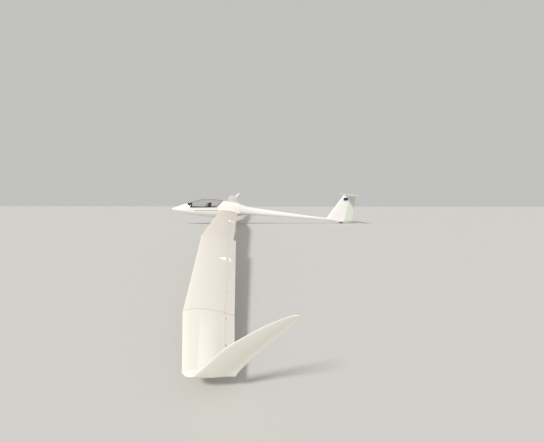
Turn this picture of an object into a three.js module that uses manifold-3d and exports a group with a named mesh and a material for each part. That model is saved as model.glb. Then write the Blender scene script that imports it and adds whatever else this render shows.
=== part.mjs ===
// Two-seat sailplane glider, parked on its main wheel and tail wheel with the left wing tip down.
// Millimetres. Airframe axes: X aft from the nose, Y to the right wing, Z up from the wheels' floor.
import * as THREE from 'three';
import { mergeVertices } from 'three/addons/utils/BufferGeometryUtils.js';
import Module from 'manifold-3d';

const wasm = await Module();
wasm.setup();

// Stance and fits
const BANK = THREE.MathUtils.degToRad(4.83);
// Half a turn, so that the parked aircraft's nose looks along +X and its lowered left wing along +Y
const HEADING = Math.PI;
const FIT = 0.3;
const PLAY = 5;
const FAR = 4000;
const PAST_TAIL = 12000;
const PAST_TIPS = 20000;
// Pins have eight sides, and a bore's flats clear the pin's corners
const PIN_SIDES = 8;
const boreFor = (pin, sides = PIN_SIDES) => (pin + FIT) / Math.cos(Math.PI / sides);
const ACROSS = 600;

// Hull: x, top, bottom, half width, height of the widest line
const HULL = [
  [0, 797, 783, 8, 790],
  [30, 820, 757, 38, 789],
  [120, 862, 712, 88, 787],
  [300, 928, 655, 156, 785],
  [540, 1008, 594, 222, 785],
  [780, 1089, 536, 272, 787],
  [1190, 1192, 467, 325, 792],
  [1450, 1262, 434, 343, 796],
  [1700, 1297, 403, 351, 800],
  [2060, 1300, 367, 353, 800],
  [2370, 1262, 356, 349, 796],
  [2674, 1216, 357, 338, 786],
  [3000, 1176, 374, 318, 770],
  [3400, 1103, 424, 276, 748],
  [3660, 992, 457, 243, 722],
  [3920, 909, 467, 214, 690],
  [4180, 866, 458, 191, 664],
  [4550, 803, 444, 165, 624],
  [5620, 650, 379, 126, 515],
  [6710, 495, 301, 94, 398],
  [7820, 353, 228, 62, 290],
  [8170, 312, 206, 54, 259],
  [8450, 282, 180, 50, 231],
  [8750, 262, 112, 50, 190],
  [8950, 250, 68, 52, 168],
  [9080, 243, 80, 46, 167],
  [9200, 238, 132, 33, 185],
];
const HULL_ROUND = 2.2;
const HULL_SIDES = 24;
const BOOM_SIDES = 20;
const WALL = 12;
// The shell ahead of the boom is in two lengths that meet between the wheel well and the engine bay
const SHELL_JOINT = 2895;
const POD_X = [
  0, 12, 50, 120, 300, 540, 780, 1190, 1450, 1700, 2060, 2370, 2674, SHELL_JOINT, 3000, 3200, 3400,
  3530, 3660, 3790, 3920, 4180, 4300,
];
const BOOM_X = [4300, 4550, 5085, 5620, 6710, 7820, 8450, 8600, 8750, 8850, 8950, 9080, 9200];

// Canopy outline in side view: the sill's front and rear ends and the slanted edges' upper ends
const SILL_FRONT = [994, 858];
const SILL_REAR = [2303, 875];
// Seats and panels keep clear of the canopy from this far below the sill
const SILL_LEDGE = 22;
const CANOPY_FRONT_TOP = [778, 1088];
const CANOPY_REAR_TOP = [2674, 1216];
const CANOPY_FRAME_WIDTH = 42;
const CANOPY_FRAME_THICK = 18;
const GLASS_THICK = 5;
const CANOPY_HINGE = { y: 369, z: 862, x: [1450, 2140], down: 24, up: 40 };

// Cockpit tub in side view: x, z
const TUB = [
  [430, 200],
  [2200, 200],
  [2370, 520],
  [2600, 1100],
  [2600, 1600],
  [430, 1600],
];

// Wings: s along the span, chord, trailing edge x, left bend, right bend out of this station in degrees
const WING = [
  { s: 450, chord: 945, te: 3424, left: 6.1, right: 2.4 },
  { s: 5000, chord: 665, te: 3368, left: 1.9, right: -0.2 },
  { s: 11350, chord: 567, te: 3289, left: 0.6, right: -3.8 },
  { s: 14470, chord: 383, te: 3332, left: 0.2, right: -6.9 },
  { s: 15225, chord: 268, te: 3338, left: 0.2, right: -6.9 },
];
// The outer panel is wider than the middle one where they meet
const STEP = { chord: 591, te: 3332 };
const WING_ROOT_Z = 655;
const INCIDENCE = THREE.MathUtils.degToRad(6.5);
const HINGE_AT = 0.82;
const PANELS = ['inner', 'middle', 'outer', 'tip'];
const FLAPS = ['flap_inner', 'flap_middle', 'aileron_outer', 'aileron_tip'];
const LUGS_AT = [
  [0.15, 0.85],
  [0.15, 0.8],
  [0.12, 0.85],
  [0.15, 0.72],
];
// Hinges: nose radius as a share of the half thickness, and the lugs with their pins
const NOSE = 0.97;
const LUG = { thick: 10, root: 22, bite: 5, pinLeast: 2, pinShare: 0.2, eyeShare: 2.2 };
// How far the round room for a nose runs past both ends of its hinge line
const CUT_PAST = 60;
// Room at each end of a flap, at the wing root and at the tip
const FLAP_GAP = { end: 5.3, root: 10, tip: 8 };
const TIP_AILERON_END = 0.86;

// Wing section: u from the leading edge, upper and lower surface as fractions of the chord
const SECTION = [
  [0, 0, 0],
  [0.008, 0.0185, -0.0125],
  [0.03, 0.036, -0.021],
  [0.08, 0.058, -0.029],
  [0.16, 0.077, -0.0345],
  [0.27, 0.0915, -0.0375],
  [0.4, 0.0965, -0.038],
  [0.54, 0.0915, -0.0335],
  [0.68, 0.0745, -0.0215],
  [0.8, 0.05, -0.0075],
  [0.88, 0.0305, -0.001],
  [1, 0.0012, -0.0012],
];
const CREST = 0.5;
const SECTION_THICK = 0.134;

// Root fairing of each wing, from inside the shell out to the wing: y, chord stretch, thickness stretch
const FILLET = [
  [200, 1.145, 1.43],
  [250, 1.14, 1.42],
  [330, 1.08, 1.2],
  [390, 1.03, 1.07],
  [450, 1, 1],
];
const FILLET_AFT = 0.59;

// Bend from wing tip to winglet: turn in degrees, leading and trailing edge aft of the tip's trailing edge
const TIP_BEND = [
  [0, -262, 0],
  [21, -253, 2],
  [42, -235, 5],
  [63.5, -205, 12],
];
const TIP_BEND_RADIUS = 46;
const WINGLET_FOOT = 12;
// Share of the section's thickness that is left at the foot of the winglet
const BEND_THIN = 0.75;
// Winglet: height along it, leading and trailing edge aft of the tip's trailing edge, thickness ratio
const WINGLET = [
  [60, -168, 36, 0.1],
  [145, -108, 85, 0.093],
  [237, -42, 148, 0.085],
  [320, 45, 205, 0.08],
  [382, 120, 245, 0.08],
  [430, 192, 268, 0.085],
  [457, 245, 281, 0.12],
];

// Drive fairings over the flap hinges: panel index, span station
const FAIRINGS = [
  { panel: 1, s: 8500 },
  { panel: 2, s: 12850 },
];
// Half width and height over the hinge, length, and how it is split and cut off inside the wing
const FAIRING = {
  width: 40,
  height: 44,
  length: 200,
  ahead: 118,
  gap: 25,
  slope: 0.22,
  sink: 0.4,
  floor: 5,
};

// Fin and rudder: z, leading edge x, trailing edge x, thickness
const FIN = [
  [150, 8085, 9586, 92],
  [212, 8128, 9592, 92],
  [330, 8196, 9602, 92],
  [900, 8590, 9657, 84],
  [1300, 8875, 9697, 76],
  [1522, 9033, 9718, 70],
];
// Fin above its foot inside the boom, in side view: x, z
const FIN_FOOT = [
  [8000, 265],
  [9260, 165],
  [9900, 165],
  [9900, 1700],
  [8000, 1700],
];
const RUDDER_HINGE = [
  [9187, 131],
  [9375, 1477],
];
// Rings of the rudder, from its foot to its top
const RUDDER_Z = [165, 330, 900, 1300, 1455];
const RUDDER_LUGS = [0.2, 0.55, 0.9];
// Room between the boom's end and the rudder's hinge line
const RUDDER_ROOM = 34;
// Room ahead of, beside and above the tail wheel in its slot
const TAIL_SLOT = [14, 6, 12];
const TAIL_AXLE_HALF = 38;

// Tailplane: y, leading edge x, trailing edge x
const TAILPLANE = [
  [0, 9080, 9655],
  [700, 9135, 9567],
  [1340, 9186, 9486],
  [1385, 9200, 9480],
  [1400, 9225, 9472],
];
const TAILPLANE_Z = 1548;
const TAIL_THICK = 0.105;
// Share of the thickness that is left at the tailplane's very tips
const TAIL_TIP_THIN = 0.4;
// Elevator: hinge x, lugs along each half, and the notch in the middle over the rudder
const ELEVATOR = { hinge: 9440, lugs: [0.25, 0.88], room: 16, start: 62 };

// Wheels: radius to the tread's crown, radius of the round tread, axle x, half widths of rim and hub
const MAIN_WHEEL = {
  radius: 190,
  tread: 75,
  x: 2640,
  rim: 100,
  axle: 12,
  width: 58,
  hub: 90,
  sides: 32,
  steps: 6,
};
const TAIL_WHEEL = {
  radius: 100,
  tread: 25,
  x: 8985,
  rim: 58,
  axle: 7,
  width: 18,
  hub: 24,
  sides: 24,
  steps: 4,
};
// Rims: hub tube, half width of the web, and where the web meets the flange
const RIM = { hub: 14, web: 0.3, dish: 0.72, flange: 0.86, sides: 16 };
// Row of the section's lower surface above the tip wheel
const UNDER_FORK = 7;
const FORK = { cheek: 5, foot: 9, head: 22, bite: 8 };
const TIP_WHEEL = { radius: 34, tread: 10, s: 15020, aft: 100, axle: 4, sides: 16, steps: 4 };

const TOW_HOOK = { x: [2215, 2285], half: 22, drop: 22, bite: 10 };

// Wheel well, gear doors and engine bay
const WELL = { x: [2430, 2860], half: 130, floor: -100, top: 590 };
const GEAR_DOOR = { thick: 6, x: [2433, 2857], grip: 16, drop: 165, splay: 24, corner: 40 };
const GEAR_ARM = {
  y: 100,
  thick: 10,
  ends: [[2490, 540], [2805, 540]],
  lap: 22,
  foot: 23,
  arch: 62,
  tube: 15,
  axleOut: 2,
};
const BAY = { x: [2930, 4150], half: 150, floor: 700, top: 1600 };
const BAY_DOOR_THICK = 9;
// Knuckles: two ears and a pin on one side, one lug on the other
const KNUCKLE = { spread: 14, ear: 7, lug: 12, eye: 8, pin: 4, stalk: 5 };
const BAY_HINGE = {
  y: 149,
  x: [2935, 4145],
  z: [1189, 862],
  knuckles: [0.28, 0.47],
  foot: [22, -58],
  arm: [-16, -30],
};
const ENGINE = { x: [3010, 3460], half: 125, height: 290 };

// Seats in side view: x, z along the pan from its front lip to the top of the back
const SEAT_FRONT = [
  [1150, 556],
  [1260, 520],
  [1400, 487],
  [1500, 496],
  [1580, 560],
  [1680, 740],
  [1790, 962],
];
const SEAT_REAR = [
  [1990, 520],
  [2080, 448],
  [2190, 446],
  [2265, 510],
  [2360, 730],
  [2480, 980],
];
const SEAT_THICK = 8;
const CUSHION = { half: 205, thick: 38 };
// Narrow top of each seat back and the headrest on it
const HEAD = { half: 85, height: 120, thick: 34, start: 0.15 };

// Instrument panels with their pedestals in side view, and the control sticks
const PANELS_IN = [
  {
    key: 'front',
    board: [[812, 1050], [1005, 1105], [1032, 1082], [1008, 880], [900, 860], [812, 960]],
    boardHalf: 190,
    foot: [[860, 870], [960, 870], [935, 300], [850, 300]],
    footHalf: 75,
  },
  {
    key: 'rear',
    board: [[1866, 1090], [1993, 1120], [2020, 1096], [1996, 890], [1928, 872], [1866, 960]],
    boardHalf: 170,
    foot: [[1866, 900], [1940, 900], [1925, 300], [1855, 300]],
    footHalf: 60,
  },
];
const STICKS = [{ key: 'front', x: 1105 }, { key: 'rear', x: 1955 }];
const STICK = { foot: 300, top: 790, lean: 22, shaft: 9, grip: [640, 16, 18] };

const COLOURS = {
  gelcoat: 0xf2f0ea,
  inside: 0x9a9a98,
  glass: 0x9fb0b4,
  frame: 0x333336,
  rubber: 0x1b1b1c,
  metal: 0x9a9ca0,
  paint: 0xd9d9d6,
  fabric: 0x4d4f55,
  dark: 0x24262a,
};
const FINISHES = {
  gelcoat: [0.22, 0],
  inside: [0.7, 0],
  glass: [0.05, 0],
  frame: [0.4, 0],
  rubber: [0.85, 0],
  metal: [0.35, 0.9],
  paint: [0.4, 0.1],
  fabric: [0.95, 0],
  dark: [0.6, 0],
};

// Smooth monotone curve through one column of a table whose first column is the position
function curve(table, column) {
  const at = table.map((row) => row[0]);
  const value = table.map((row) => row[column]);
  const rise = at.slice(1).map((x, i) => (value[i + 1] - value[i]) / (x - at[i]));
  const slope = value.map((v, i) => {
    if (i === 0) return rise[0];
    if (i === value.length - 1) return rise[i - 1];
    if (rise[i - 1] * rise[i] <= 0) return 0;
    return (2 * rise[i - 1] * rise[i]) / (rise[i - 1] + rise[i]);
  });
  return (x) => {
    let i = 0;
    while (i < at.length - 2 && x > at[i + 1]) i += 1;
    const step = at[i + 1] - at[i];
    const t = (x - at[i]) / step;
    const start = (1 + 2 * t) * (1 - t) ** 2 * value[i] + t * (1 - t) ** 2 * step * slope[i];
    const end = t ** 2 * (3 - 2 * t) * value[i + 1] + t ** 2 * (t - 1) * step * slope[i + 1];
    return start + end;
  };
}

// Stations of the shell from one x to another, both of them in its row
function podSpan(from, to) {
  return POD_X.filter((x) => x >= from && x <= to);
}

const hullTop = curve(HULL, 1);
const hullBottom = curve(HULL, 2);
const hullHalf = curve(HULL, 3);
const hullMiddle = curve(HULL, 4);

function solid(geometry) {
  const plain = geometry.clone();
  plain.deleteAttribute('normal');
  plain.deleteAttribute('uv');
  const merged = mergeVertices(plain, 1e-3);
  const point = merged.attributes.position;
  const faces = [];
  let volume = 0;
  const [a, b, c] = [new THREE.Vector3(), new THREE.Vector3(), new THREE.Vector3()];
  for (let i = 0; i < merged.index.count; i += 3) {
    const face = [0, 1, 2].map((k) => merged.index.getX(i + k));
    if (new Set(face).size < 3) continue;
    a.fromBufferAttribute(point, face[0]);
    b.fromBufferAttribute(point, face[1]);
    c.fromBufferAttribute(point, face[2]);
    volume += a.dot(b.cross(c));
    faces.push(face);
  }
  const outward = volume < 0 ? faces.map(([p, q, r]) => [p, r, q]) : faces;
  const triVerts = new Uint32Array(outward.flat());
  return new wasm.Manifold(new wasm.Mesh({ numProp: 3, vertProperties: point.array, triVerts }));
}

function geometryOf(body) {
  const mesh = body.getMesh();
  const geometry = new THREE.BufferGeometry();
  geometry.setAttribute('position', new THREE.BufferAttribute(new Float32Array(mesh.vertProperties), 3));
  geometry.setIndex(new THREE.BufferAttribute(new Uint32Array(mesh.triVerts), 1));
  geometry.computeVertexNormals();
  return geometry;
}

function joined(...bodies) {
  return bodies.reduce((sum, body) => sum.add(body));
}

function cutBy(body, ...tools) {
  return tools.reduce((left, tool) => left.subtract(tool), body);
}

// Skin over a row of rings with as many points each. Point j of a ring faces point pairs - j.
function loft(rings, pairs) {
  const count = rings[0].length;
  const points = rings.flat().flatMap((p) => [p.x, p.y, p.z]);
  const index = [];
  for (let i = 0; i < rings.length - 1; i += 1) {
    for (let j = 0; j < count; j += 1) {
      const k = (j + 1) % count;
      const [a, b, c, d] = [i * count + j, i * count + k, (i + 1) * count + k, (i + 1) * count + j];
      index.push(a, b, c, a, c, d);
    }
  }
  for (const [start, flip] of [[0, true], [(rings.length - 1) * count, false]]) {
    for (let j = 0; j < pairs / 2; j += 1) {
      const quad = [j, j + 1, pairs - j - 1, pairs - j].map((k) => start + (k % count));
      const [a, b, c, d] = flip ? quad.reverse() : quad;
      index.push(a, b, c, a, c, d);
    }
  }
  const geometry = new THREE.BufferGeometry();
  geometry.setAttribute('position', new THREE.Float32BufferAttribute(points, 3));
  geometry.setIndex(index);
  return solid(geometry);
}

function block(x0, x1, y0, y1, z0, z1) {
  const geometry = new THREE.BoxGeometry(x1 - x0, y1 - y0, z1 - z0);
  geometry.translate((x0 + x1) / 2, (y0 + y1) / 2, (z0 + z1) / 2);
  return solid(geometry);
}

// Prism across the airframe from an outline in side view
function sidePrism(outline, y0, y1) {
  const shape = new THREE.Shape(outline.map(([x, z]) => new THREE.Vector2(x, z)));
  const geometry = new THREE.ExtrudeGeometry(shape, { depth: y1 - y0, bevelEnabled: false });
  geometry.rotateX(Math.PI / 2);
  geometry.translate(0, y1, 0);
  return solid(geometry);
}

// Prism along the airframe from an outline in cross section
function crossPrism(outline, x0, x1) {
  const shape = new THREE.Shape(outline.map(([y, z]) => new THREE.Vector2(y, z)));
  const geometry = new THREE.ExtrudeGeometry(shape, { depth: x1 - x0, bevelEnabled: false });
  geometry.rotateX(Math.PI / 2);
  geometry.rotateZ(Math.PI / 2);
  geometry.translate(x0, 0, 0);
  return solid(geometry);
}

function rod(from, to, startRadius, endRadius = startRadius, sides = 16) {
  const way = to.clone().sub(from);
  const geometry = new THREE.CylinderGeometry(endRadius, startRadius, way.length(), sides);
  const turn = new THREE.Quaternion().setFromUnitVectors(new THREE.Vector3(0, 1, 0), way.normalize());
  geometry.applyQuaternion(turn);
  const middle = from.clone().lerp(to, 0.5);
  geometry.translate(middle.x, middle.y, middle.z);
  return solid(geometry);
}

function crossTube(x, z, half, radius, sides = 16) {
  return rod(new THREE.Vector3(x, -half, z), new THREE.Vector3(x, half, z), radius, radius, sides);
}

function hullRing(x, inset, sides) {
  const top = hullTop(x) - inset;
  const bottom = hullBottom(x) + inset;
  const half = hullHalf(x) - inset;
  const middle = hullMiddle(x);
  const power = 2 / HULL_ROUND;
  return Array.from({ length: sides }, (_, k) => {
    const angle = (2 * Math.PI * k) / sides;
    const across = Math.sin(angle);
    const up = Math.cos(angle);
    const reach = up > 0 ? top - middle : middle - bottom;
    const y = half * Math.sign(across) * Math.abs(across) ** power;
    return new THREE.Vector3(x, y, middle + reach * Math.sign(up) * Math.abs(up) ** power);
  });
}

function hullLoft(stations, inset = 0, sides = HULL_SIDES) {
  return loft(stations.map((x) => hullRing(x, inset, sides)), sides);
}

// A length of the hull's shell that stops half a fit short of a joint at either end
function shellLength(from, to) {
  const stations = podSpan(from, to);
  if (from > 0) stations[0] += FIT / 2;
  stations[stations.length - 1] -= FIT / 2;
  return hullLoft(stations);
}

// Canopy outline in side view, drawn in by inset on all three edges
function canopyOutline(inset) {
  const edges = [
    [CANOPY_FRONT_TOP, SILL_FRONT],
    [SILL_FRONT, SILL_REAR],
    [SILL_REAR, CANOPY_REAR_TOP],
  ].map(([[x0, z0], [x1, z1]]) => {
    const length = Math.hypot(x1 - x0, z1 - z0);
    const [dx, dz] = [(x1 - x0) / length, (z1 - z0) / length];
    return { x: x0 - dz * inset, z: z0 + dx * inset, dx, dz };
  });
  const meet = (p, q) => {
    const t = ((q.x - p.x) * q.dz - (q.z - p.z) * q.dx) / (p.dx * q.dz - p.dz * q.dx);
    return [p.x + p.dx * t, p.z + p.dz * t];
  };
  const level = { x: 0, z: BAY.top, dx: 1, dz: 0 };
  const [front, sill, rear] = edges;
  return [meet(level, front), meet(front, sill), meet(sill, rear), meet(rear, level)];
}

function canopyPrism(inset) {
  return sidePrism(canopyOutline(inset), -ACROSS, ACROSS);
}

// Half thickness of a symmetrical section of unit thickness
function symmetric(u) {
  return 5 * (0.2969 * Math.sqrt(u) - 0.126 * u - 0.3516 * u ** 2 + 0.2843 * u ** 3 - 0.1026 * u ** 4);
}

const AROUND = [...SECTION.slice().reverse(), ...SECTION.slice(1)];
const LEADING = SECTION.length - 1;

// Ring of a wing section. base is its point at mid chord, up the direction of its thickness.
function sectionRing(base, chord, up, incidence, thick = 1) {
  const [cos, sin] = [Math.cos(incidence), Math.sin(incidence)];
  return AROUND.map((row, k) => {
    const along = (row[0] - CREST) * chord;
    const height = (k <= LEADING ? row[1] : row[2]) * chord * thick;
    const point = base.clone().addScaledVector(up, height * cos - along * sin);
    point.x += along * cos + height * sin;
    return point;
  });
}

function symmetricRing(leading, trailing, thick, place) {
  return AROUND.map((row, k) => {
    const half = symmetric(row[0]) * thick * (k <= LEADING ? 1 : -1);
    return place(leading + (trailing - leading) * row[0], half);
  });
}

// Span stations of one wing: where the bend puts them and which way is up there
function stations(side) {
  const bends = WING.map((row) => THREE.MathUtils.degToRad(side < 0 ? row.left : row.right));
  let [y, z] = [WING[0].s, WING_ROOT_Z];
  return WING.map((row, i) => {
    if (i > 0) {
      const run = row.s - WING[i - 1].s;
      y += run * Math.cos(bends[i - 1]);
      z += run * Math.sin(bends[i - 1]);
    }
    const tilt = i === 0 ? 0 : (bends[i - 1] + bends[i]) / 2;
    const up = new THREE.Vector3(0, -side * Math.sin(tilt), Math.cos(tilt));
    return { ...row, base: new THREE.Vector3(0, side * y, z), up, bend: bends[i] };
  });
}

function wingRing(station, chord = station.chord, te = station.te) {
  const base = station.base.clone();
  base.x = te - chord * (1 - CREST);
  return sectionRing(base, chord, station.up, INCIDENCE);
}

function between(start, end, t) {
  return start.map((p, k) => p.clone().lerp(end[k], t));
}

// Hinge point of a ring: its centre of thickness at the hinge line, and its half thickness there
function hingeOf(ring) {
  const last = ring.length - 1;
  let k = 0;
  while (SECTION[LEADING - k - 1][0] > HINGE_AT) k += 1;
  const [near, far] = [SECTION[LEADING - k][0], SECTION[LEADING - k - 1][0]];
  const t = (near - HINGE_AT) / (near - far);
  const upper = ring[k].clone().lerp(ring[k + 1], t);
  const lower = ring[last - k].clone().lerp(ring[last - k - 1], t);
  return { point: upper.clone().lerp(lower, 0.5), radius: upper.distanceTo(lower) / 2 };
}

// A surface split at its hinge line. a and b are the hinge's ends, with the section's half thickness.
// lugs are the places of the hinge lugs along it.
// zone, where given, is the part of the fixed piece that the cut may reach.
function splitAtHinge({ fixedFull, moverFull, a, b, lugs, zone }) {
  const axis = b.point.clone().sub(a.point);
  const length = axis.length();
  axis.normalize();
  const back = new THREE.Vector3(1, 0, 0);
  const aft = back.clone().addScaledVector(axis, -back.dot(axis)).normalize();
  const up = new THREE.Vector3().crossVectors(axis, aft);
  const basis = new THREE.Matrix4().makeBasis(aft, up, axis);
  const placed = (geometry, t) => {
    geometry.applyMatrix4(basis.clone().setPosition(a.point.clone().lerp(b.point, t)));
    return solid(geometry);
  };
  const box = (x0, x1, half, width, t) => {
    const geometry = new THREE.BoxGeometry(x1 - x0, 2 * half, width);
    geometry.translate((x0 + x1) / 2, 0, 0);
    return placed(geometry, t);
  };
  const cone = (grow) => {
    const reach = CUT_PAST / length;
    const start = a.point.clone().lerp(b.point, -reach);
    const end = a.point.clone().lerp(b.point, 1 + reach);
    const slope = (b.radius - a.radius) * reach;
    return rod(start, end, a.radius * NOSE - slope + grow, b.radius * NOSE + slope + grow, 16);
  };
  const behind = box(0, FAR, FAR, length + FAR, 0.5);
  let mover = moverFull.intersect(joined(cone(0), behind));
  const room = joined(cone(PLAY), behind);
  let fixed = fixedFull.subtract(zone ? room.intersect(zone) : room);
  for (const t of lugs) {
    const radius = a.radius + (b.radius - a.radius) * t;
    const pin = Math.max(LUG.pinLeast, radius * LUG.pinShare);
    const eye = pin * LUG.eyeShare + 1;
    const plate = new THREE.Shape();
    plate.moveTo(-radius - PLAY - LUG.root, -eye);
    plate.lineTo(0, -eye);
    plate.absarc(0, 0, eye, -Math.PI / 2, Math.PI / 2, false);
    plate.lineTo(-radius - PLAY - LUG.root, eye);
    const hole = new THREE.Path();
    hole.absarc(0, 0, boreFor(pin), 0, 2 * Math.PI, true);
    plate.holes.push(hole);
    const look = { depth: LUG.thick, bevelEnabled: false, curveSegments: PIN_SIDES / 2 };
    const lug = new THREE.ExtrudeGeometry(plate, look);
    lug.translate(0, 0, -LUG.thick / 2);
    const width = LUG.thick + 2 * PLAY;
    const shaft = new THREE.CylinderGeometry(pin, pin, width + 2 * LUG.bite, PIN_SIDES);
    shaft.rotateX(Math.PI / 2);
    const pocket = box(-radius - PLAY, eye + PLAY, radius + PLAY, width, t);
    mover = mover.subtract(pocket).add(placed(shaft, t));
    fixed = fixed.add(placed(lug, t));
  }
  return { fixed, mover };
}

// Teardrop over a hinge, along the wind, with its widest point at the origin and cut off below the skin
function teardrop() {
  const profile = [
    [0, -FAIRING.ahead],
    [0.35, -0.78 * FAIRING.ahead],
    [0.72, -0.45 * FAIRING.ahead],
    [1, 0],
    [0.8, 0.45 * (FAIRING.length - FAIRING.ahead)],
    [0.4, 0.8 * (FAIRING.length - FAIRING.ahead)],
    [0, FAIRING.length - FAIRING.ahead],
  ].map(([r, along]) => new THREE.Vector2(r, along));
  const geometry = new THREE.LatheGeometry(profile, 12);
  geometry.rotateZ(-Math.PI / 2);
  geometry.scale(1, FAIRING.width, FAIRING.height);
  const above = block(-FAR, FAR, -FAR, FAR, -FAIRING.floor, FAR);
  return geometryOf(solid(geometry).intersect(above));
}

const group = new THREE.Group();
const airframe = new THREE.Group();
airframe.rotation.x = BANK;
group.rotation.z = HEADING;
group.add(airframe);

function add(name, body, look) {
  const [roughness, metalness] = FINISHES[look];
  const material = new THREE.MeshStandardMaterial({ color: COLOURS[look], roughness, metalness });
  const mesh = new THREE.Mesh(geometryOf(body), material);
  mesh.name = name;
  airframe.add(mesh);
  return mesh;
}

// Height in the banked airframe that rests a wheel's tread on the floor
function seatedHeight(wheel, y) {
  return wheel.radius - wheel.tread + wheel.tread / Math.cos(BANK) - y * Math.tan(BANK);
}

// Wing panels, flaps and tips
function buildWing(side) {
  const name = side < 0 ? 'left' : 'right';
  const places = stations(side);
  const joints = [];
  places.slice(0, -1).forEach((place, i) => {
    const next = places[i + 1];
    const startRing = i === 2 ? wingRing(place, STEP.chord, STEP.te) : wingRing(place);
    const endRing = wingRing(next);
    const run = next.s - place.s;
    const isTip = i === PANELS.length - 1;
    const flapEnd = isTip ? TIP_AILERON_END : 1;
    const trim = FIT / 2 / run;
    const roomIn = (i === 0 ? FLAP_GAP.root : FLAP_GAP.end) / run;
    const roomOut = (isTip ? FLAP_GAP.tip : FLAP_GAP.end) / run;
    const inboard = between(startRing, endRing, trim);
    const outboard = between(startRing, endRing, 1 - trim);
    const [a, b] = [hingeOf(startRing), hingeOf(between(startRing, endRing, flapEnd))];
    const flapRings = [roomIn, flapEnd - roomOut].map((t) => between(startRing, endRing, t));
    const parts = splitAtHinge({
      fixedFull: loft([inboard, ...(isTip ? tipRings(side, endRing, next) : [outboard])], 2 * LEADING),
      moverFull: loft(flapRings, 2 * LEADING),
      a: side < 0 ? b : a,
      b: side < 0 ? a : b,
      lugs: LUGS_AT[i].map((t) => (side < 0 ? 1 - t : t)),
      zone: isTip ? upToPlane(side, b.point) : null,
    });
    let { fixed, mover } = parts;
    for (const row of FAIRINGS.filter((entry) => entry.panel === i)) {
      const ring = between(startRing, endRing, (row.s - place.s) / run);
      const hinge = hingeOf(ring);
      const top = hinge.point.clone().addScaledVector(next.up, hinge.radius * FAIRING.sink);
      const drop = teardrop();
      drop.rotateY(INCIDENCE + FAIRING.slope);
      drop.rotateX(side * place.bend);
      drop.translate(top.x, top.y, top.z);
      const whole = solid(drop);
      const ahead = block(top.x - FAR, top.x - FAIRING.gap, -PAST_TIPS, PAST_TIPS, -FAR, FAR);
      const behind = block(top.x + 1, top.x + FAR, -PAST_TIPS, PAST_TIPS, -FAR, FAR);
      fixed = fixed.add(whole.intersect(ahead));
      mover = mover.add(whole.intersect(behind));
    }
    if (isTip) fixed = fixed.add(tipFork(side, startRing, endRing, place, next));
    add(`wing_${PANELS[i]}_${name}`, fixed, 'gelcoat');
    const node = `${FLAPS[i]}_${name}`;
    add(node, mover, 'gelcoat');
    const ends = [a.point, b.point];
    if (side < 0) ends.reverse();
    joints.push({ name: node, a: ends[0], b: ends[1] });
  });
  return joints;
}

// Room from the root out to a point of the span
function upToPlane(side, { y }) {
  const [y0, y1] = side < 0 ? [y, 0] : [0, y];
  return block(-FAR, PAST_TAIL, y0, y1, -FAR, FAR);
}

// Rings from the tip station round the bend and up the winglet
function tipRings(side, endRing, tip) {
  const out = new THREE.Vector3(0, side * Math.cos(tip.bend), Math.sin(tip.bend));
  const wingUp = tip.up;
  const rings = [endRing];
  const trailing = tip.te;
  const [fullTurn] = TIP_BEND[TIP_BEND.length - 1];
  let foot = tip.base;
  for (const [turn, leading, te] of TIP_BEND.slice(1)) {
    const angle = THREE.MathUtils.degToRad(turn);
    const base = tip.base.clone();
    base.addScaledVector(out, TIP_BEND_RADIUS * Math.sin(angle));
    base.addScaledVector(wingUp, TIP_BEND_RADIUS * (1 - Math.cos(angle)));
    foot = base.clone();
    const chord = te - leading;
    base.x = trailing + leading + chord * CREST;
    const up = wingUp.clone().multiplyScalar(Math.cos(angle)).addScaledVector(out, -Math.sin(angle));
    const flat = 1 - turn / fullTurn;
    const thick = BEND_THIN + (1 - BEND_THIN) * flat;
    rings.push(sectionRing(base, chord, up, INCIDENCE * flat, thick));
  }
  const lean = THREE.MathUtils.degToRad(fullTurn);
  const along = out.clone().multiplyScalar(Math.cos(lean)).addScaledVector(wingUp, Math.sin(lean));
  const up = wingUp.clone().multiplyScalar(Math.cos(lean)).addScaledVector(out, -Math.sin(lean));
  for (const [height, leading, te, thick] of WINGLET) {
    const base = foot.clone().addScaledVector(along, height - WINGLET_FOOT);
    const chord = te - leading;
    base.x = trailing + leading + chord * CREST;
    rings.push(sectionRing(base, chord, up, 0, thick / SECTION_THICK));
  }
  return rings;
}

// Two cheeks and an axle under the wing tip that carry the tip wheel
function tipFork(side, startRing, endRing, place, next) {
  const t = (TIP_WHEEL.s - place.s) / (next.s - place.s);
  const centre = tipWheelCentre(side);
  const ring = between(startRing, endRing, t);
  const wing = ring[LEADING + UNDER_FORK];
  const half = TIP_WHEEL.tread + PLAY + 1;
  const cheeks = [-1, 1].map((hand) => {
    const inner = centre.y + hand * half;
    const outer = centre.y + hand * (half + FORK.cheek);
    const outline = [
      [centre.x - FORK.foot, centre.z - FORK.foot],
      [centre.x + FORK.foot, centre.z - FORK.foot],
      [centre.x + FORK.head, wing.z + FORK.bite],
      [centre.x - FORK.head, wing.z + FORK.bite],
    ];
    return sidePrism(outline, Math.min(inner, outer), Math.max(inner, outer));
  });
  const end = half + 1;
  const across = new THREE.Vector3(0, end, 0);
  const axle = rod(centre.clone().sub(across), centre.clone().add(across), TIP_WHEEL.axle, TIP_WHEEL.axle, 8);
  return joined(...cheeks, axle);
}

function tipWheelCentre(side) {
  const places = stations(side);
  const place = places[places.length - 2];
  const next = places[places.length - 1];
  const t = (TIP_WHEEL.s - place.s) / (next.s - place.s);
  const base = place.base.clone().lerp(next.base, t);
  const left = stations(-1);
  const leftBase = left[left.length - 2].base.clone().lerp(left[left.length - 1].base, t);
  const drop = leftBase.z - seatedHeight(TIP_WHEEL, leftBase.y);
  base.x = next.te - next.chord + TIP_WHEEL.aft;
  base.z -= drop;
  return base;
}

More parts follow.
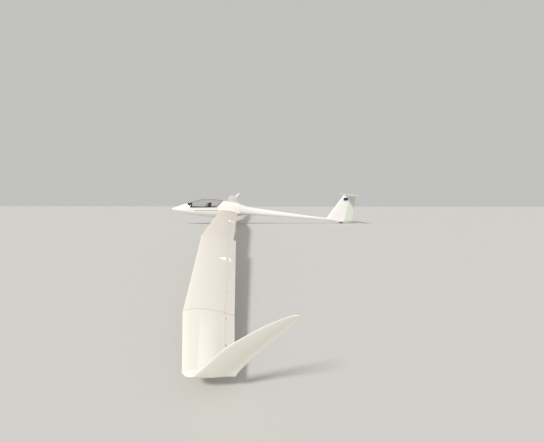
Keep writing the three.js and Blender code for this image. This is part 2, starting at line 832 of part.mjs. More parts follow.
// Round tyre: the tread's arc over a plain bore. Lathe axis along the axle.
function tyreGeometry({ radius, tread, rim, sides, steps }) {
  const ring = radius - tread;
  const bore = boreFor(rim, sides);
  const low = Math.asin(Math.max(bore - ring, 0) / tread);
  const profile = [];
  for (let k = 0; k <= steps; k += 1) {
    const angle = low + ((Math.PI - 2 * low) * k) / steps;
    profile.push([ring + tread * Math.sin(angle), -tread * Math.cos(angle)]);
  }
  if (bore < ring) profile.push([bore, tread], [bore, -tread]);
  profile.push(profile[0]);
  return new THREE.LatheGeometry(profile.map(([r, y]) => new THREE.Vector2(r, y)), sides);
}

// Dished rim on a hub tube. width and hub are the half widths of the rim and the hub.
function rimGeometry({ rim, axle, width, hub }) {
  const bore = boreFor(axle, RIM.sides);
  const half = [
    [bore, hub],
    [bore + RIM.hub, hub],
    [bore + RIM.hub, width * RIM.web],
    [rim * RIM.dish, width * RIM.web],
    [rim * RIM.flange, width],
    [rim, width],
  ];
  const mirrored = [...half].reverse().map(([r, y]) => [r, -y]);
  const profile = [...half, ...mirrored, half[0]].map(([r, y]) => new THREE.Vector2(r, y));
  return new THREE.LatheGeometry(profile, RIM.sides);
}

// Forward shell with the cockpit and the wheel well, centre shell with the engine bay
function buildHull() {
  const tub = hullLoft(podSpan(300, SHELL_JOINT), WALL).intersect(sidePrism(TUB, -ACROSS, ACROSS));
  const well = block(...WELL.x, -WELL.half, WELL.half, WELL.floor, WELL.top);
  const pod = cutBy(shellLength(0, SHELL_JOINT), tub, canopyPrism(0), well);
  const fixedOf = (knuckles) => knuckles.map(({ fixed }) => fixed);
  add('fuselage_pod', joined(pod, towHook(), ...fixedOf(canopyKnuckles())), 'gelcoat');
  const bay = sidePrism(bayOutline(0), -BAY.half, BAY.half);
  const centre = shellLength(SHELL_JOINT, BOOM_X[0]).subtract(bay);
  const hinges = [...bayKnuckles(-1), ...bayKnuckles(1)];
  add('fuselage_centre', joined(centre, ...fixedOf(hinges)), 'gelcoat');
}

// Root fairings on the shell's sides that the wings plug on to
function buildRoots() {
  const root = WING[0];
  const shell = hullLoft(POD_X, -FIT);
  const up = new THREE.Vector3(0, 0, 1);
  for (const side of [-1, 1]) {
    const rings = FILLET.map(([y, stretch, thick]) => {
      const chord = root.chord * stretch;
      const reach = y === root.s ? y - FIT / 2 : y;
      const middle = root.te - chord * CREST + FILLET_AFT * (chord - root.chord);
      return sectionRing(new THREE.Vector3(middle, side * reach, WING_ROOT_Z), chord, up, INCIDENCE, thick);
    });
    const fairing = loft(rings, 2 * LEADING).subtract(shell);
    add(`wing_root_${side < 0 ? 'left' : 'right'}`, fairing, 'gelcoat');
  }
}

// Tow hook housing with a flat lower face
function towHook() {
  const { x, half, drop, bite } = TOW_HOOK;
  const floor = hullBottom((x[0] + x[1]) / 2);
  return block(...x, -half, half, floor - drop, floor + bite);
}

// An open knuckle: two ears and a pin on the fixed side, and a lug round the pin on the moving side.
// foot and arm are the points inside each side that its stalks run to.
function knuckle(centre, axis, foot, arm) {
  const along = (from, by) => from.clone().addScaledVector(axis, by);
  const disc = (by, half, radius) => {
    return rod(along(centre, by - half), along(centre, by + half), radius, radius, PIN_SIDES);
  };
  const stalk = (from, to) => rod(from, to, KNUCKLE.stalk, KNUCKLE.stalk, 4);
  const ears = [-1, 1].map((hand) => {
    const by = hand * KNUCKLE.spread;
    return joined(disc(by, KNUCKLE.ear / 2, KNUCKLE.eye), stalk(along(centre, by), along(foot, by)));
  });
  const pin = disc(0, KNUCKLE.spread, KNUCKLE.pin);
  const lug = joined(disc(0, KNUCKLE.lug / 2, KNUCKLE.eye), stalk(centre, arm));
  const bore = disc(0, KNUCKLE.lug, boreFor(KNUCKLE.pin));
  return { fixed: joined(pin, ...ears), lug: lug.subtract(bore), bore };
}

// Half width of the hull at a height above its widest line
function hullSide(x, z) {
  const middle = hullMiddle(x);
  const rise = Math.abs(z - middle) / (z > middle ? hullTop(x) - middle : middle - hullBottom(x));
  return hullHalf(x) * (1 - rise ** HULL_ROUND) ** (1 / HULL_ROUND);
}

function canopyKnuckles() {
  const { y, z, down, up } = CANOPY_HINGE;
  return CANOPY_HINGE.x.map((x) => {
    const foot = new THREE.Vector3(x, hullSide(x, z - down) - WALL / 2, z - down);
    const arm = new THREE.Vector3(x, hullSide(x, z + up) - CANOPY_FRAME_THICK / 2, z + up);
    return knuckle(new THREE.Vector3(x, y, z), new THREE.Vector3(1, 0, 0), foot, arm);
  });
}

function buildCanopy() {
  const span = podSpan(540, 3000);
  const outer = hullLoft(span);
  const shell = outer.subtract(hullLoft(span, CANOPY_FRAME_THICK));
  const pane = outer.subtract(hullLoft(span, GLASS_THICK));
  let frame = shell.intersect(canopyPrism(PLAY)).subtract(canopyPrism(CANOPY_FRAME_WIDTH));
  for (const { lug, bore } of canopyKnuckles()) frame = frame.subtract(bore).add(lug);
  add('canopy_frame', frame, 'frame');
  add('canopy_glass', pane.intersect(canopyPrism(CANOPY_FRAME_WIDTH + FIT)), 'glass');
}

// Engine bay in side view, drawn in by inset at both ends. Its rear end is square to the doors' hinge.
function bayOutline(inset) {
  const slope = (BAY_HINGE.z[0] - BAY_HINGE.z[1]) / (BAY_HINGE.x[1] - BAY_HINGE.x[0]);
  const rear = (z) => BAY.x[1] - inset * Math.hypot(1, slope) + (z - BAY_HINGE.z[1]) * slope;
  const front = BAY.x[0] + inset;
  return [[front, BAY.floor], [front, BAY.top], [rear(BAY.top), BAY.top], [rear(BAY.floor), BAY.floor]];
}

function bayHinge(side) {
  return BAY_HINGE.x.map((x, i) => new THREE.Vector3(x, side * BAY_HINGE.y, BAY_HINGE.z[i]));
}

function bayKnuckles(side) {
  const [from, to] = bayHinge(side);
  const axis = to.clone().sub(from).normalize();
  return BAY_HINGE.knuckles.map((t) => {
    const centre = from.clone().lerp(to, t);
    const foot = centre.clone().add(new THREE.Vector3(0, side * BAY_HINGE.foot[0], BAY_HINGE.foot[1]));
    const arm = centre.clone().add(new THREE.Vector3(0, side * BAY_HINGE.arm[0], BAY_HINGE.arm[1]));
    return knuckle(centre, axis, foot, arm);
  });
}

function buildBay() {
  const span = podSpan(2674, BOOM_X[0]);
  const skin = hullLoft(span).subtract(hullLoft(span, BAY_DOOR_THICK));
  for (const side of [-1, 1]) {
    const [y0, y1] = side < 0 ? [-BAY.half + PLAY, -PLAY / 2] : [PLAY / 2, BAY.half - PLAY];
    let door = skin.intersect(sidePrism(bayOutline(PLAY), y0, y1));
    for (const { lug } of bayKnuckles(side)) door = door.add(lug);
    add(`engine_door_${side < 0 ? 'left' : 'right'}`, door, 'gelcoat');
  }
  const foot = BAY.floor + FIT;
  add('engine', block(...ENGINE.x, -ENGINE.half, ENGINE.half, foot, foot + ENGINE.height), 'metal');
}

function finRing([z, leading, trailing, thick]) {
  return symmetricRing(leading, trailing, thick, (x, half) => new THREE.Vector3(x, half, z));
}

function finPlaneAt(z) {
  const columns = [1, 2, 3].map((column) => curve(FIN, column));
  return [z, ...columns.map((value) => value(z))];
}

function tailplaneBody() {
  const rows = [...TAILPLANE.slice(1)].reverse().map(([y, le, te]) => [-y, le, te]);
  rows.push(...TAILPLANE);
  const rings = rows.map(([y, le, te], i) => {
    const end = i === 0 || i === rows.length - 1;
    const thick = (te - le) * TAIL_THICK * (end ? TAIL_TIP_THIN : 1);
    return symmetricRing(le, te, thick, (x, half) => new THREE.Vector3(x, y, TAILPLANE_Z + half));
  });
  return loft(rings, 2 * LEADING);
}

function buildTail() {
  const boomRings = BOOM_X.map((x, i) => hullRing(i === 0 ? x + FIT / 2 : x, 0, BOOM_SIDES));
  const boomFull = loft(boomRings, BOOM_SIDES);
  const boomGrown = loft(BOOM_X.map((x) => hullRing(x, -FIT, BOOM_SIDES)), BOOM_SIDES);
  const aboveFoot = sidePrism(FIN_FOOT, -ACROSS, ACROSS);
  const full = loft(FIN.map(finRing), 2 * LEADING).intersect(aboveFoot);
  const [low, high] = RUDDER_HINGE;
  const hingeEnd = ([x, z]) => {
    const [, le, te, thick] = finPlaneAt(z);
    return { point: new THREE.Vector3(x, 0, z), radius: symmetric((x - le) / (te - le)) * thick };
  };
  const tailplane = tailplaneBody();
  const parts = splitAtHinge({
    fixedFull: full.subtract(boomGrown),
    moverFull: loft(RUDDER_Z.map((z) => finRing(finPlaneAt(z))), 2 * LEADING),
    a: hingeEnd(low),
    b: hingeEnd(high),
    lugs: RUDDER_LUGS,
  });
  const fin = cutBy(parts.fixed, grownTailplane());
  add('fin', fin, 'gelcoat');
  add('rudder', parts.mover, 'gelcoat');
  const hub = seatedHeight(TAIL_WHEEL, 0);
  const { x, radius, tread, axle } = TAIL_WHEEL;
  const [long, wide, above] = TAIL_SLOT.map((by, i) => by + [radius, tread, radius][i]);
  const slot = block(x - long, x + long, -wide, wide, -FAR, hub + above);
  const boom = cutBy(boomFull, slot, splitCut(low, high)).add(crossTube(x, hub, TAIL_AXLE_HALF, axle, 12));
  add('tail_boom', boom, 'gelcoat');
  return tailplane;
}

// Everything aft of the rudder's hinge, and room round the rudder's nose, out of the boom
function splitCut([x0, z0], [x1, z1]) {
  const lean = (x1 - x0) / (z1 - z0);
  const at = (z) => x0 + (z - z0) * lean - RUDDER_ROOM;
  return sidePrism([[at(0), 0], [x1 + FAR, 0], [x1 + FAR, z1], [at(z1), z1]], -ACROSS, ACROSS);
}

function grownTailplane() {
  const geometry = geometryOf(tailplaneBody());
  geometry.translate(0, 0, -FIT);
  return solid(geometry);
}

// Tailplane in two halves at the middle line, each split at the elevator's hinge
function buildTailplane(tailplane) {
  const hingeEnd = ([y, le, te], side) => ({
    point: new THREE.Vector3(ELEVATOR.hinge, side * y, TAILPLANE_Z),
    radius: symmetric((ELEVATOR.hinge - le) / (te - le)) * (te - le) * TAIL_THICK,
  });
  const middle = hingeEnd(TAILPLANE[0], 1);
  const halves = [-1, 1].map((side) => {
    const [y0, y1] = side < 0 ? [-FAR, 0.01] : [-0.01, FAR];
    const whole = tailplane.intersect(block(0, PAST_TAIL, y0, y1, 0, FAR));
    const end = hingeEnd(TAILPLANE[2], side);
    return splitAtHinge({
      fixedFull: whole,
      moverFull: whole,
      a: side < 0 ? end : middle,
      b: side < 0 ? middle : end,
      lugs: ELEVATOR.lugs.map((t) => (side < 0 ? 1 - t : t)),
    });
  });
  const { hinge, room, start } = ELEVATOR;
  const gap = block(hinge + room, hinge + FAR, -start, start, 0, FAR);
  add('tailplane', joined(...halves.map(({ fixed }) => fixed)), 'gelcoat');
  add('elevator', joined(...halves.map(({ mover }) => mover)).subtract(gap), 'gelcoat');
}

// Main gear: side frames down from two cross tubes to the axle
function buildGear() {
  const hub = seatedHeight(MAIN_WHEEL, 0);
  const [front, rear] = GEAR_ARM.ends;
  const { y, thick, lap, foot, arch, tube } = GEAR_ARM;
  const outline = [
    [front[0] - lap, front[1] + tube],
    [MAIN_WHEEL.x - foot, hub - foot],
    [MAIN_WHEEL.x + foot, hub - foot],
    [rear[0] + lap, rear[1] + tube],
    [rear[0] - lap, rear[1] + tube],
    [MAIN_WHEEL.x, hub + arch],
    [front[0] + lap, front[1] + tube],
  ];
  const frames = [-1, 1].map((side) => sidePrism(outline, side * y - thick / 2, side * y + thick / 2));
  const tubes = [front, rear].map(([x, z]) => crossTube(x, z, WELL.half - FIT, tube, 10));
  const axle = crossTube(MAIN_WHEEL.x, hub, y + thick / 2 + GEAR_ARM.axleOut, MAIN_WHEEL.axle, 12);
  add('main_gear_leg', joined(...frames, ...tubes, axle), 'paint');
  for (const [key, wheel] of [['main', MAIN_WHEEL], ['tail', TAIL_WHEEL]]) {
    const z = seatedHeight(wheel, 0);
    add(`${key}_tyre`, solid(tyreGeometry(wheel)), 'rubber').position.set(wheel.x, 0, z);
    add(`${key}_rim`, solid(rimGeometry(wheel)), 'metal').position.set(wheel.x, 0, z);
  }
  for (const side of [-1, 1]) {
    const wheel = solid(tyreGeometry({ ...TIP_WHEEL, rim: TIP_WHEEL.axle }));
    add(`tip_wheel_${side < 0 ? 'left' : 'right'}`, wheel, 'rubber').position.copy(tipWheelCentre(side));
  }
}

// Open gear doors: plates that hang from inside the well's side walls
function buildGearDoors() {
  const { thick, grip, drop, splay, corner } = GEAR_DOOR;
  const [x0, x1] = GEAR_DOOR.x;
  const wall = WELL.half - FIT;
  const edge = Math.min(...WELL.x.map((x) => underside(x, WELL.half))) - FIT;
  const plan = [
    [x0, edge + grip],
    [x1, edge + grip],
    [x1, edge - drop + corner],
    [x1 - corner, edge - drop],
    [x0 + corner, edge - drop],
    [x0, edge - drop + corner],
  ];
  const section = [
    [wall, edge + grip],
    [wall, edge],
    [wall + splay, edge - drop],
    [wall + splay - thick, edge - drop],
    [wall - thick, edge],
    [wall - thick, edge + grip],
  ];
  for (const side of [-1, 1]) {
    const plate = crossPrism(section.map(([y, z]) => [side * y, z]), x0, x1);
    const door = plate.intersect(sidePrism(plan, -ACROSS, ACROSS));
    add(`gear_door_${side < 0 ? 'left' : 'right'}`, door, 'gelcoat');
  }
}

// Height of the hull's lower surface beside its middle line
function underside(x, y) {
  const middle = hullMiddle(x);
  const share = 1 - (y / hullHalf(x)) ** HULL_ROUND;
  return middle - (middle - hullBottom(x)) * share ** (1 / HULL_ROUND);
}

// Outline of a bent sheet: a side-view line thickened to its upper side, without its first rows
function sheetOutline(line, low, high, skipped = 0) {
  const normals = line.map(([x, z], i) => {
    const [x0, z0] = line[Math.max(i - 1, 0)];
    const [x1, z1] = line[Math.min(i + 1, line.length - 1)];
    const length = Math.hypot(x1 - x0, z1 - z0);
    return [-(z1 - z0) / length, (x1 - x0) / length];
  });
  const shift = (by) => {
    const moved = line.map(([x, z], i) => [x + normals[i][0] * by, z + normals[i][1] * by]);
    return moved.slice(skipped);
  };
  return [...shift(low), ...shift(high).reverse()];
}

// Seats, cushions, headrests, panels and sticks
function buildCockpit() {
  const span = podSpan(300, 3000);
  const clear = hullLoft(span, CANOPY_FRAME_THICK + PLAY + FIT);
  const belowSill = block(-FAR, FAR, -ACROSS, ACROSS, -FAR, SILL_FRONT[1] - SILL_LEDGE);
  const room = hullLoft(span, WALL + FIT).intersect(belowSill).add(clear);
  for (const [key, line] of [['front', SEAT_FRONT], ['rear', SEAT_REAR]]) {
    const [[x0, z0], [x1, z1]] = line.slice(-2);
    const length = Math.hypot(x1 - x0, z1 - z0);
    const rise = HEAD.height / length;
    const head = [[x1, z1], [x1 + (x1 - x0) * rise, z1 + (z1 - z0) * rise]];
    const neck = sidePrism(sheetOutline([[x0, z0], ...head], 0, SEAT_THICK), -HEAD.half, HEAD.half);
    const pan = sidePrism(sheetOutline(line, 0, SEAT_THICK), -ACROSS, ACROSS).intersect(room);
    add(`seat_${key}`, pan.add(neck), 'inside');
    const low = SEAT_THICK + FIT;
    const cushion = sidePrism(sheetOutline(line, low, low + CUSHION.thick, 1), -CUSHION.half, CUSHION.half);
    add(`cushion_${key}`, cushion.intersect(room), 'fabric');
    const pad = sheetOutline([along(head, HEAD.start), head[1]], low, low + HEAD.thick);
    add(`headrest_${key}`, sidePrism(pad, -HEAD.half, HEAD.half), 'fabric');
  }
  for (const { key, board, boardHalf, foot, footHalf } of PANELS_IN) {
    const upper = sidePrism(board, -boardHalf, boardHalf).intersect(clear);
    const pedestal = sidePrism(foot, -footHalf, footHalf).intersect(room);
    add(`instrument_panel_${key}`, upper.add(pedestal), 'dark');
  }
  const [gripFrom, gripLow, gripHigh] = STICK.grip;
  for (const { key, x } of STICKS) {
    const lean = STICK.lean / (STICK.top - STICK.foot);
    const at = (z) => new THREE.Vector3(x + lean * (z - STICK.foot), 0, z);
    const shaft = rod(at(STICK.foot), at(gripFrom), STICK.shaft, STICK.shaft, 8);
    const grip = rod(at(gripFrom - 1), at(STICK.top), gripLow, gripHigh, 8);
    add(`stick_${key}`, joined(shaft, grip).intersect(room), 'dark');
  }
}

function along([[x0, z0], [x1, z1]], t) {
  return [x0 + (x1 - x0) * t, z0 + (z1 - z0) * t];
}

buildHull();
buildRoots();
buildCanopy();
const hinges = [...buildWing(-1), ...buildWing(1)];
buildTailplane(buildTail());
buildBay();
buildGear();
buildGearDoors();
buildCockpit();

// Origin under the middle of the parked aircraft, on the floor
const box = new THREE.Box3().setFromObject(group, true);
const centre = box.getCenter(new THREE.Vector3());
group.position.set(-centre.x, -centre.y, -box.min.z);
group.updateMatrixWorld(true);

export { hinges, bayHinge };
export default group;
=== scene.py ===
import math

import bmesh
import bpy
from mathutils import Matrix, Vector


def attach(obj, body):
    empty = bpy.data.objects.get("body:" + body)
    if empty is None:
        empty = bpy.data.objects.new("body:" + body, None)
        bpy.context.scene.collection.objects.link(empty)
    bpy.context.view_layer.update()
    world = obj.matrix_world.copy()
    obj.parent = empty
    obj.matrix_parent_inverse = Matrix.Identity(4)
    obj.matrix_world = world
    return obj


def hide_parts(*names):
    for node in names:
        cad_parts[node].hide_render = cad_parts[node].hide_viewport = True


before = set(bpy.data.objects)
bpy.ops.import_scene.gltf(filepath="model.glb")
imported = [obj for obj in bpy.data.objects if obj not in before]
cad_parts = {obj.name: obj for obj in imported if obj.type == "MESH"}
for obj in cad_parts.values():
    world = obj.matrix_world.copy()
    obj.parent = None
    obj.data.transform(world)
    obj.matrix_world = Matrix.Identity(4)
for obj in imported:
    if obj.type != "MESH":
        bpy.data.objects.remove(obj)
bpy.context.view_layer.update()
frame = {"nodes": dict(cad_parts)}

bl_info = {
    "name": "Two-seat sailplane glider",
    "version": (1, 0, 0),
    "blender": (4, 5, 0),
    "location": "View3D > Sidebar > Glider",
    "description": "Builds the finished sailplane round its frame",
    "category": "Object",
}

# Stance: the nose looks along +X and the airframe leans on its left tip wheel
BANK = math.radians(4.83)
STANCE = Vector((4.8558496, -0.0830306, -0.0000355))
AIR = Matrix.Translation(STANCE) @ Matrix.Rotation(math.pi, 4, "Z") @ Matrix.Rotation(BANK, 4, "X")
MM = 0.001
FIT = 0.3
PLAY = 5.0
FAR = 4000.0
PAST_TAIL = 12000.0
PAST_TIPS = 20000.0
ACROSS = 600
SIDES = ((-1, "left"), (1, "right"))
TOUCH = 1e-6
MOST_FINISHES = 4
# Distance from the centre line where the wings' painted sky reflection starts to pale
SKY_REFLECTION_START = 1.5
DUST = (0.13, 0.12, 0.105)
TURN = 6.283
SMOOTH_BELOW = {"fine": 30, "plain": 32, "wide": 38, "soft": 40}

# Hull: x, top, bottom, half width, height of the widest line
HULL = (
    (0, 797, 783, 8, 790), (30, 820, 757, 38, 789), (120, 862, 712, 88, 787), (300, 928, 655, 156, 785),
    (540, 1008, 594, 222, 785), (780, 1089, 536, 272, 787), (1190, 1192, 467, 325, 792),
    (1450, 1262, 434, 343, 796), (1700, 1297, 403, 351, 800), (2060, 1300, 367, 353, 800),
    (2370, 1262, 356, 349, 796), (2674, 1216, 357, 338, 786), (3000, 1176, 374, 318, 770),
    (3400, 1103, 424, 276, 748), (3660, 992, 457, 243, 722), (3920, 909, 467, 214, 690),
    (4180, 866, 458, 191, 664), (4550, 803, 444, 165, 624), (5620, 650, 379, 126, 515),
    (6710, 495, 301, 94, 398), (7820, 353, 228, 62, 290), (8170, 312, 206, 54, 259),
    (8450, 282, 180, 50, 231), (8750, 262, 112, 50, 190), (8950, 250, 68, 52, 168),
    (9080, 243, 80, 46, 167), (9200, 238, 132, 33, 185),
)
HULL_ROUND = 2.2
POD_END = 4300.0
WALL = 12.0
SILL_FRONT = (994, 858)
SILL_REAR = (2303, 875)
CANOPY_FRONT_TOP = (778, 1088)
CANOPY_REAR_TOP = (2674, 1216)
CANOPY_TOP = 1700
CANOPY_SPAN = (560, 2980)
SKIN_PAST = 20
TUB = ((430, 200), (2200, 200), (2370, 520), (2600, 1100), (2600, 1600), (430, 1600))
WELL = ((2430, 2860), 130, 590)
BAY = {"x": (2930, 4150), "half": 150, "floor": 700, "top": 1600}
BAY_HINGE = {"y": 149, "x": (2935, 4145), "z": (1189, 862), "knuckles": (0.28, 0.47)}
BAY_HINGE_FOOT = (22, -58)
BAY_HINGE_ARM = (-16, -30)
TUB_SPAN = (300, 2837)
BAY_SKIN = (2700, 4290)

# Engine, above the bay's floor
ENGINE = {"x": (3010, 3460), "half": 95, "high": 150, "round": 12}
BARRELS = (3120, 3235, 3350)
BARREL = (44, 140, 270)
FIN_RING = {"count": 9, "first": 155, "pitch": 13, "half": 52, "wide": 62, "thick": 4, "round": 1.2}
PLUG = (20, 9, 268, 290)
PIPE = ((3040, 3430), 105, 70, 19)
STUB = (13, 60, 106, 120, 74)

# Dark side line, glass and canopy hinges
SIDE_LINE = {"z": 728, "width": 26, "x": (1170, 2400), "from": 250}
GLASS_ALPHA = (0.04, 0.42)
CANOPY_HINGE = {"y": 369, "z": 862, "x": (1450, 2140), "down": 24, "up": 40, "inside": 9}
KNUCKLE = {"lug": 6, "ear": 3.5, "spread": 14, "eye": 8, "pin": 4, "bore": 4.3, "stalk": 4.6}
TOW_HOOK = {"x": (2215, 2285), "half": 22, "drop": 21.5, "bite": 10, "round": 2}
TAIL_SLOT = {"ends": 14, "sides": 6, "top": 12, "axle": 38}
BOOM = {"end": 9200, "rings": 46, "sides": 48, "across": 200}

# Wings: span station, chord, trailing edge, left and right bend in degrees
WING = (
    (450, 945, 3424, 6.1, 2.4), (5000, 665, 3368, 1.9, -0.2), (11350, 567, 3289, 0.6, -3.8),
    (14470, 383, 3332, 0.2, -6.9), (15225, 268, 3338, 0.2, -6.9),
)
STEP = (591, 3332)
WING_ROOT_Z = 655
INCIDENCE = math.radians(6.5)
HINGE_AT = 0.82
PANELS = ("inner", "middle", "outer", "tip")
FLAPS = ("flap_inner", "flap_middle", "aileron_outer", "aileron_tip")
LUGS_AT = ((0.15, 0.85), (0.15, 0.8), (0.12, 0.85), (0.15, 0.72))
TIP_AILERON_END = 0.86
LUG = {"least": 0.002, "pin": 0.2, "eye": 2.2, "rim": 0.001, "thick": 0.01, "pin_past": 0.005, "foot": 0.02}
HINGE_ROOM = {"high": 2.0, "aft": 3.0, "steps": 20}
SEAL = {"lap": 8, "short": 2.5, "thick": 0.5}
FLAP_GAP = {"end": 5.3, "root": 10, "tip": 8}
NOSE = 0.97
CUT_PAST = 200
SECTION = (
    (0, 0, 0), (0.008, 0.0185, -0.0125), (0.03, 0.036, -0.021), (0.08, 0.058, -0.029),
    (0.16, 0.077, -0.0345), (0.27, 0.0915, -0.0375), (0.4, 0.0965, -0.038), (0.54, 0.0915, -0.0335),
    (0.68, 0.0745, -0.0215), (0.8, 0.05, -0.0075), (0.88, 0.0305, -0.001), (1, 0.0012, -0.0012),
)
FILLET = ((200, 1.145, 1.43), (250, 1.14, 1.42), (330, 1.08, 1.2), (390, 1.03, 1.07), (450, 1, 1))
FILLET_AFT = 0.59
TIP_BEND = ((0, -262, 0), (21, -253, 2), (42, -235, 5), (63.5, -205, 12))
TIP_BEND_RADIUS = 46
TIP_BEND_RINGS = 12
TIP_FLAT_THICK = 0.75
WINGLET_FOOT = 12
WINGLET_RINGS = 24
WINGLET_CROWD = 1.4
SECTION_THICK = 0.134
MID_CHORD = 0.5
WINGLET = (
    (60, -168, 36, 0.1), (145, -108, 85, 0.093), (237, -42, 148, 0.085), (320, 45, 205, 0.08),
    (382, 120, 245, 0.08), (430, 192, 268, 0.085), (457, 245, 281, 0.12),
)
FAIRINGS = ((1, 8500), (2, 12850))
FAIRING = {
    "length": 200, "width": 40, "height": 44, "ahead": 118,
    "gap": 25, "slope": 0.22, "sink": 0.4, "floor": 5,
}
TEARDROP_FRONT = ((0, -1), (0.2, -0.93), (0.42, -0.76), (0.72, -0.45), (0.93, -0.17), (1, 0))
TEARDROP_AFT = ((0.97, 0.12), (0.8, 0.42), (0.55, 0.68), (0.3, 0.87), (0.12, 0.96), (0, 1))
FORK_AT = 0.54

# Tail: z, leading edge, trailing edge, thickness; and y, leading edge, trailing edge
FIN = (
    (150, 8085, 9586, 92), (212, 8128, 9592, 92), (330, 8196, 9602, 92), (900, 8590, 9657, 84),
    (1300, 8875, 9697, 76), (1522, 9033, 9718, 70),
)
PATCH = {"x": (9035, 9285), "dark": (1250, 1385), "pale": (1195, 1250)}
FIN_FOOT = ((8000, 265), (9260, 165), (9900, 165), (9900, 1700), (8000, 1700))
RUDDER_HINGE = ((9187, 131), (9375, 1477))
RUDDER_SPAN = (165, 1455)
RUDDER_LUGS = (0.2, 0.55, 0.9)
RUDDER_ROOM = 34
TAILPLANE = ((0, 9080, 9655), (700, 9135, 9567), (1340, 9186, 9486), (1385, 9200, 9480), (1400, 9225, 9472))
TAILPLANE_Z = 1548
TAIL_THICK = 0.105
TAIL_TIP_THIN = 0.6
TAIL_SPAN = (0, 350, 700, 1000, 1340, 1365, 1385, 1394, 1400)
FIN_HEIGHTS = (150, 212, 260, 330, 450, 600, 750, 900, 1050, 1200, 1300, 1420, 1522)
FIN_HULL = (8050, 9200)
ELEVATOR = {"hinge": 9440, "lugs": (0.25, 0.88), "room": 16, "start": 62}

# Wheels
MAIN_WHEEL = {"radius": 190, "tread": 75, "x": 2640, "rim": 100, "axle": 12, "width": 58, "hub": 90}
TAIL_WHEEL = {"radius": 100, "tread": 25, "x": 8985, "rim": 58, "axle": 7, "width": 18, "hub": 24}
TIP_WHEEL = {"radius": 34, "tread": 10, "s": 15020, "aft": 100, "axle": 4}
FORK = {"cheek": 5, "foot": 9, "head": 22, "bite": 8, "round": 1.2}
HUB_STEPS = ((0, 1), (9, 1), (14, 0.92))
NECK_STEPS = ((15, 0.45), (20, 0.3))
DISC_STEPS = ((0.66, 0.3), (0.76, 0.42), (0.84, 0.9), (0.9, 1), (1, 1))
GROOVES = {"main": (55, 72, 90, 108, 125), "tail": (75, 105), "tip": (90,)}
GROOVE = {"depth": 4 / 75, "half": 2.3}
RIM_BOLT = {"count": 6, "at": 0.5, "foot": 0.3, "size": 0.045, "taper": 0.8}
GEAR_DOOR = {"thick": 6, "x": (2433, 2857), "grip": 16, "drop": 165, "splay": 24, "corner": 40, "round": 1.2}

# Cockpit
SEAT_LINES = {
    "front": ((1150, 556), (1260, 520), (1400, 487), (1500, 496), (1580, 560), (1680, 740), (1790, 962)),
    "rear": ((1990, 520), (2080, 448), (2190, 446), (2265, 510), (2360, 730), (2480, 980)),
}
SEAT_THICK = 8
COCKPIT = (300, 3000)
CUSHION = {"half": 205, "thick": 38, "clear": 3, "round": 9, "puff": 6}
HEAD = {"half": 85, "height": 120, "thick": 34, "start": 0.15, "clear": 2.5, "round": 7, "puff": 4}
BELT = {"shoulder": 45, "lap": (40, 0, 14), "start": 62, "spread": 8, "over": 3.0, "half_thick": 0.9}
LAP_BELT = ((-12, 14, 6), (2, 110, 2), (8, 180, -6))
BUCKLE = ((-14, 0, 2), (-20, 0, 14), 27, 24)
PANELS_IN = {
    "front": {
        "board": ((812, 1050), (1005, 1105), (1032, 1082), (1008, 880), (900, 860), (812, 960)),
        "half": 190,
        "foot": ((860, 870), (960, 870), (935, 300), (850, 300)),
        "foot_half": 75,
        "face": ((1032, 1082), (1008, 880)),
        "stick": 1105,
    },
    "rear": {
        "board": ((1866, 1090), (1993, 1120), (2020, 1096), (1996, 890), (1928, 872), (1866, 960)),
        "half": 170,
        "foot": ((1866, 900), (1940, 900), (1925, 300), (1855, 300)),
        "foot_half": 60,
        "face": ((2020, 1096), (1996, 890)),
        "stick": 1955,
    },
}
STICK = {"foot": 300, "top": 790, "lean": 22, "shaft": 650, "radius": 8.5}
GRIP = (
    (640, 11), (646, 15.5), (665, 13.5), (690, 15), (715, 14), (745, 15.5), (768, 17), (782, 16), (789.5, 10),
)
GRIP_DEEP = 1.1
LEVER = {"z": 740, "sink": 3, "out": 32, "radius": 4, "knob": 13}
LEVERS = (
    (1060, "knob_yellow", 40), (1240, "knob_blue", 90), (1330, "knob_green", 50),
    (1960, "knob_yellow", 40), (2030, "knob_blue", 90), (2120, "knob_green", 50),
)
PANEL_CLEAR = 18
PANEL_HALF = 190
DIAL = {
    "share": 0.82, "rim": 4, "sink": 2, "rim_high": 2.6, "face_high": 3.0,
    "tick_in": 9, "tick_out": 4, "tick_high": 3.2, "hand_high": 3.6,
}
DIALS = ((-92, 0.3, 38), (0, 0.3, 40), (92, 0.3, 38), (-60, 0.72, 30), (20, 0.72, 30), (84, 0.7, 26))

# Stage: metres and light
FLOOR = {"size": 400.0, "colour": (0.62, 0.62, 0.6)}
SKY = {"colour": (0.98, 0.975, 0.96), "strength": 0.55}
SUN = {"energy": 2.5, "angle": 9, "colour": (1.0, 0.965, 0.92), "from": (0.476, 0.62, 0.624)}
CAMERA = {
    "sensor": 36.0, "lens": 20.70, "shift": (0.0092, 0.0717), "past": 1000.0,
    "place": (1.492, 16.674, 0.953),
    "forward": (-0.0917, -0.9810, -0.1709), "right": (-0.9957, 0.0929, 0.0012),
}


def count_property(name, description, default):
    return bpy.props.IntProperty(name=name, description=description, default=default, min=10, max=160)


def length_property(name, description, default):
    return bpy.props.FloatProperty(name=name, description=description, default=default, unit="LENGTH")


def colour_property(name, description, default):
    return bpy.props.FloatVectorProperty(
        name=name, description=description, default=default, subtype="COLOR", size=3, min=0, max=1
    )


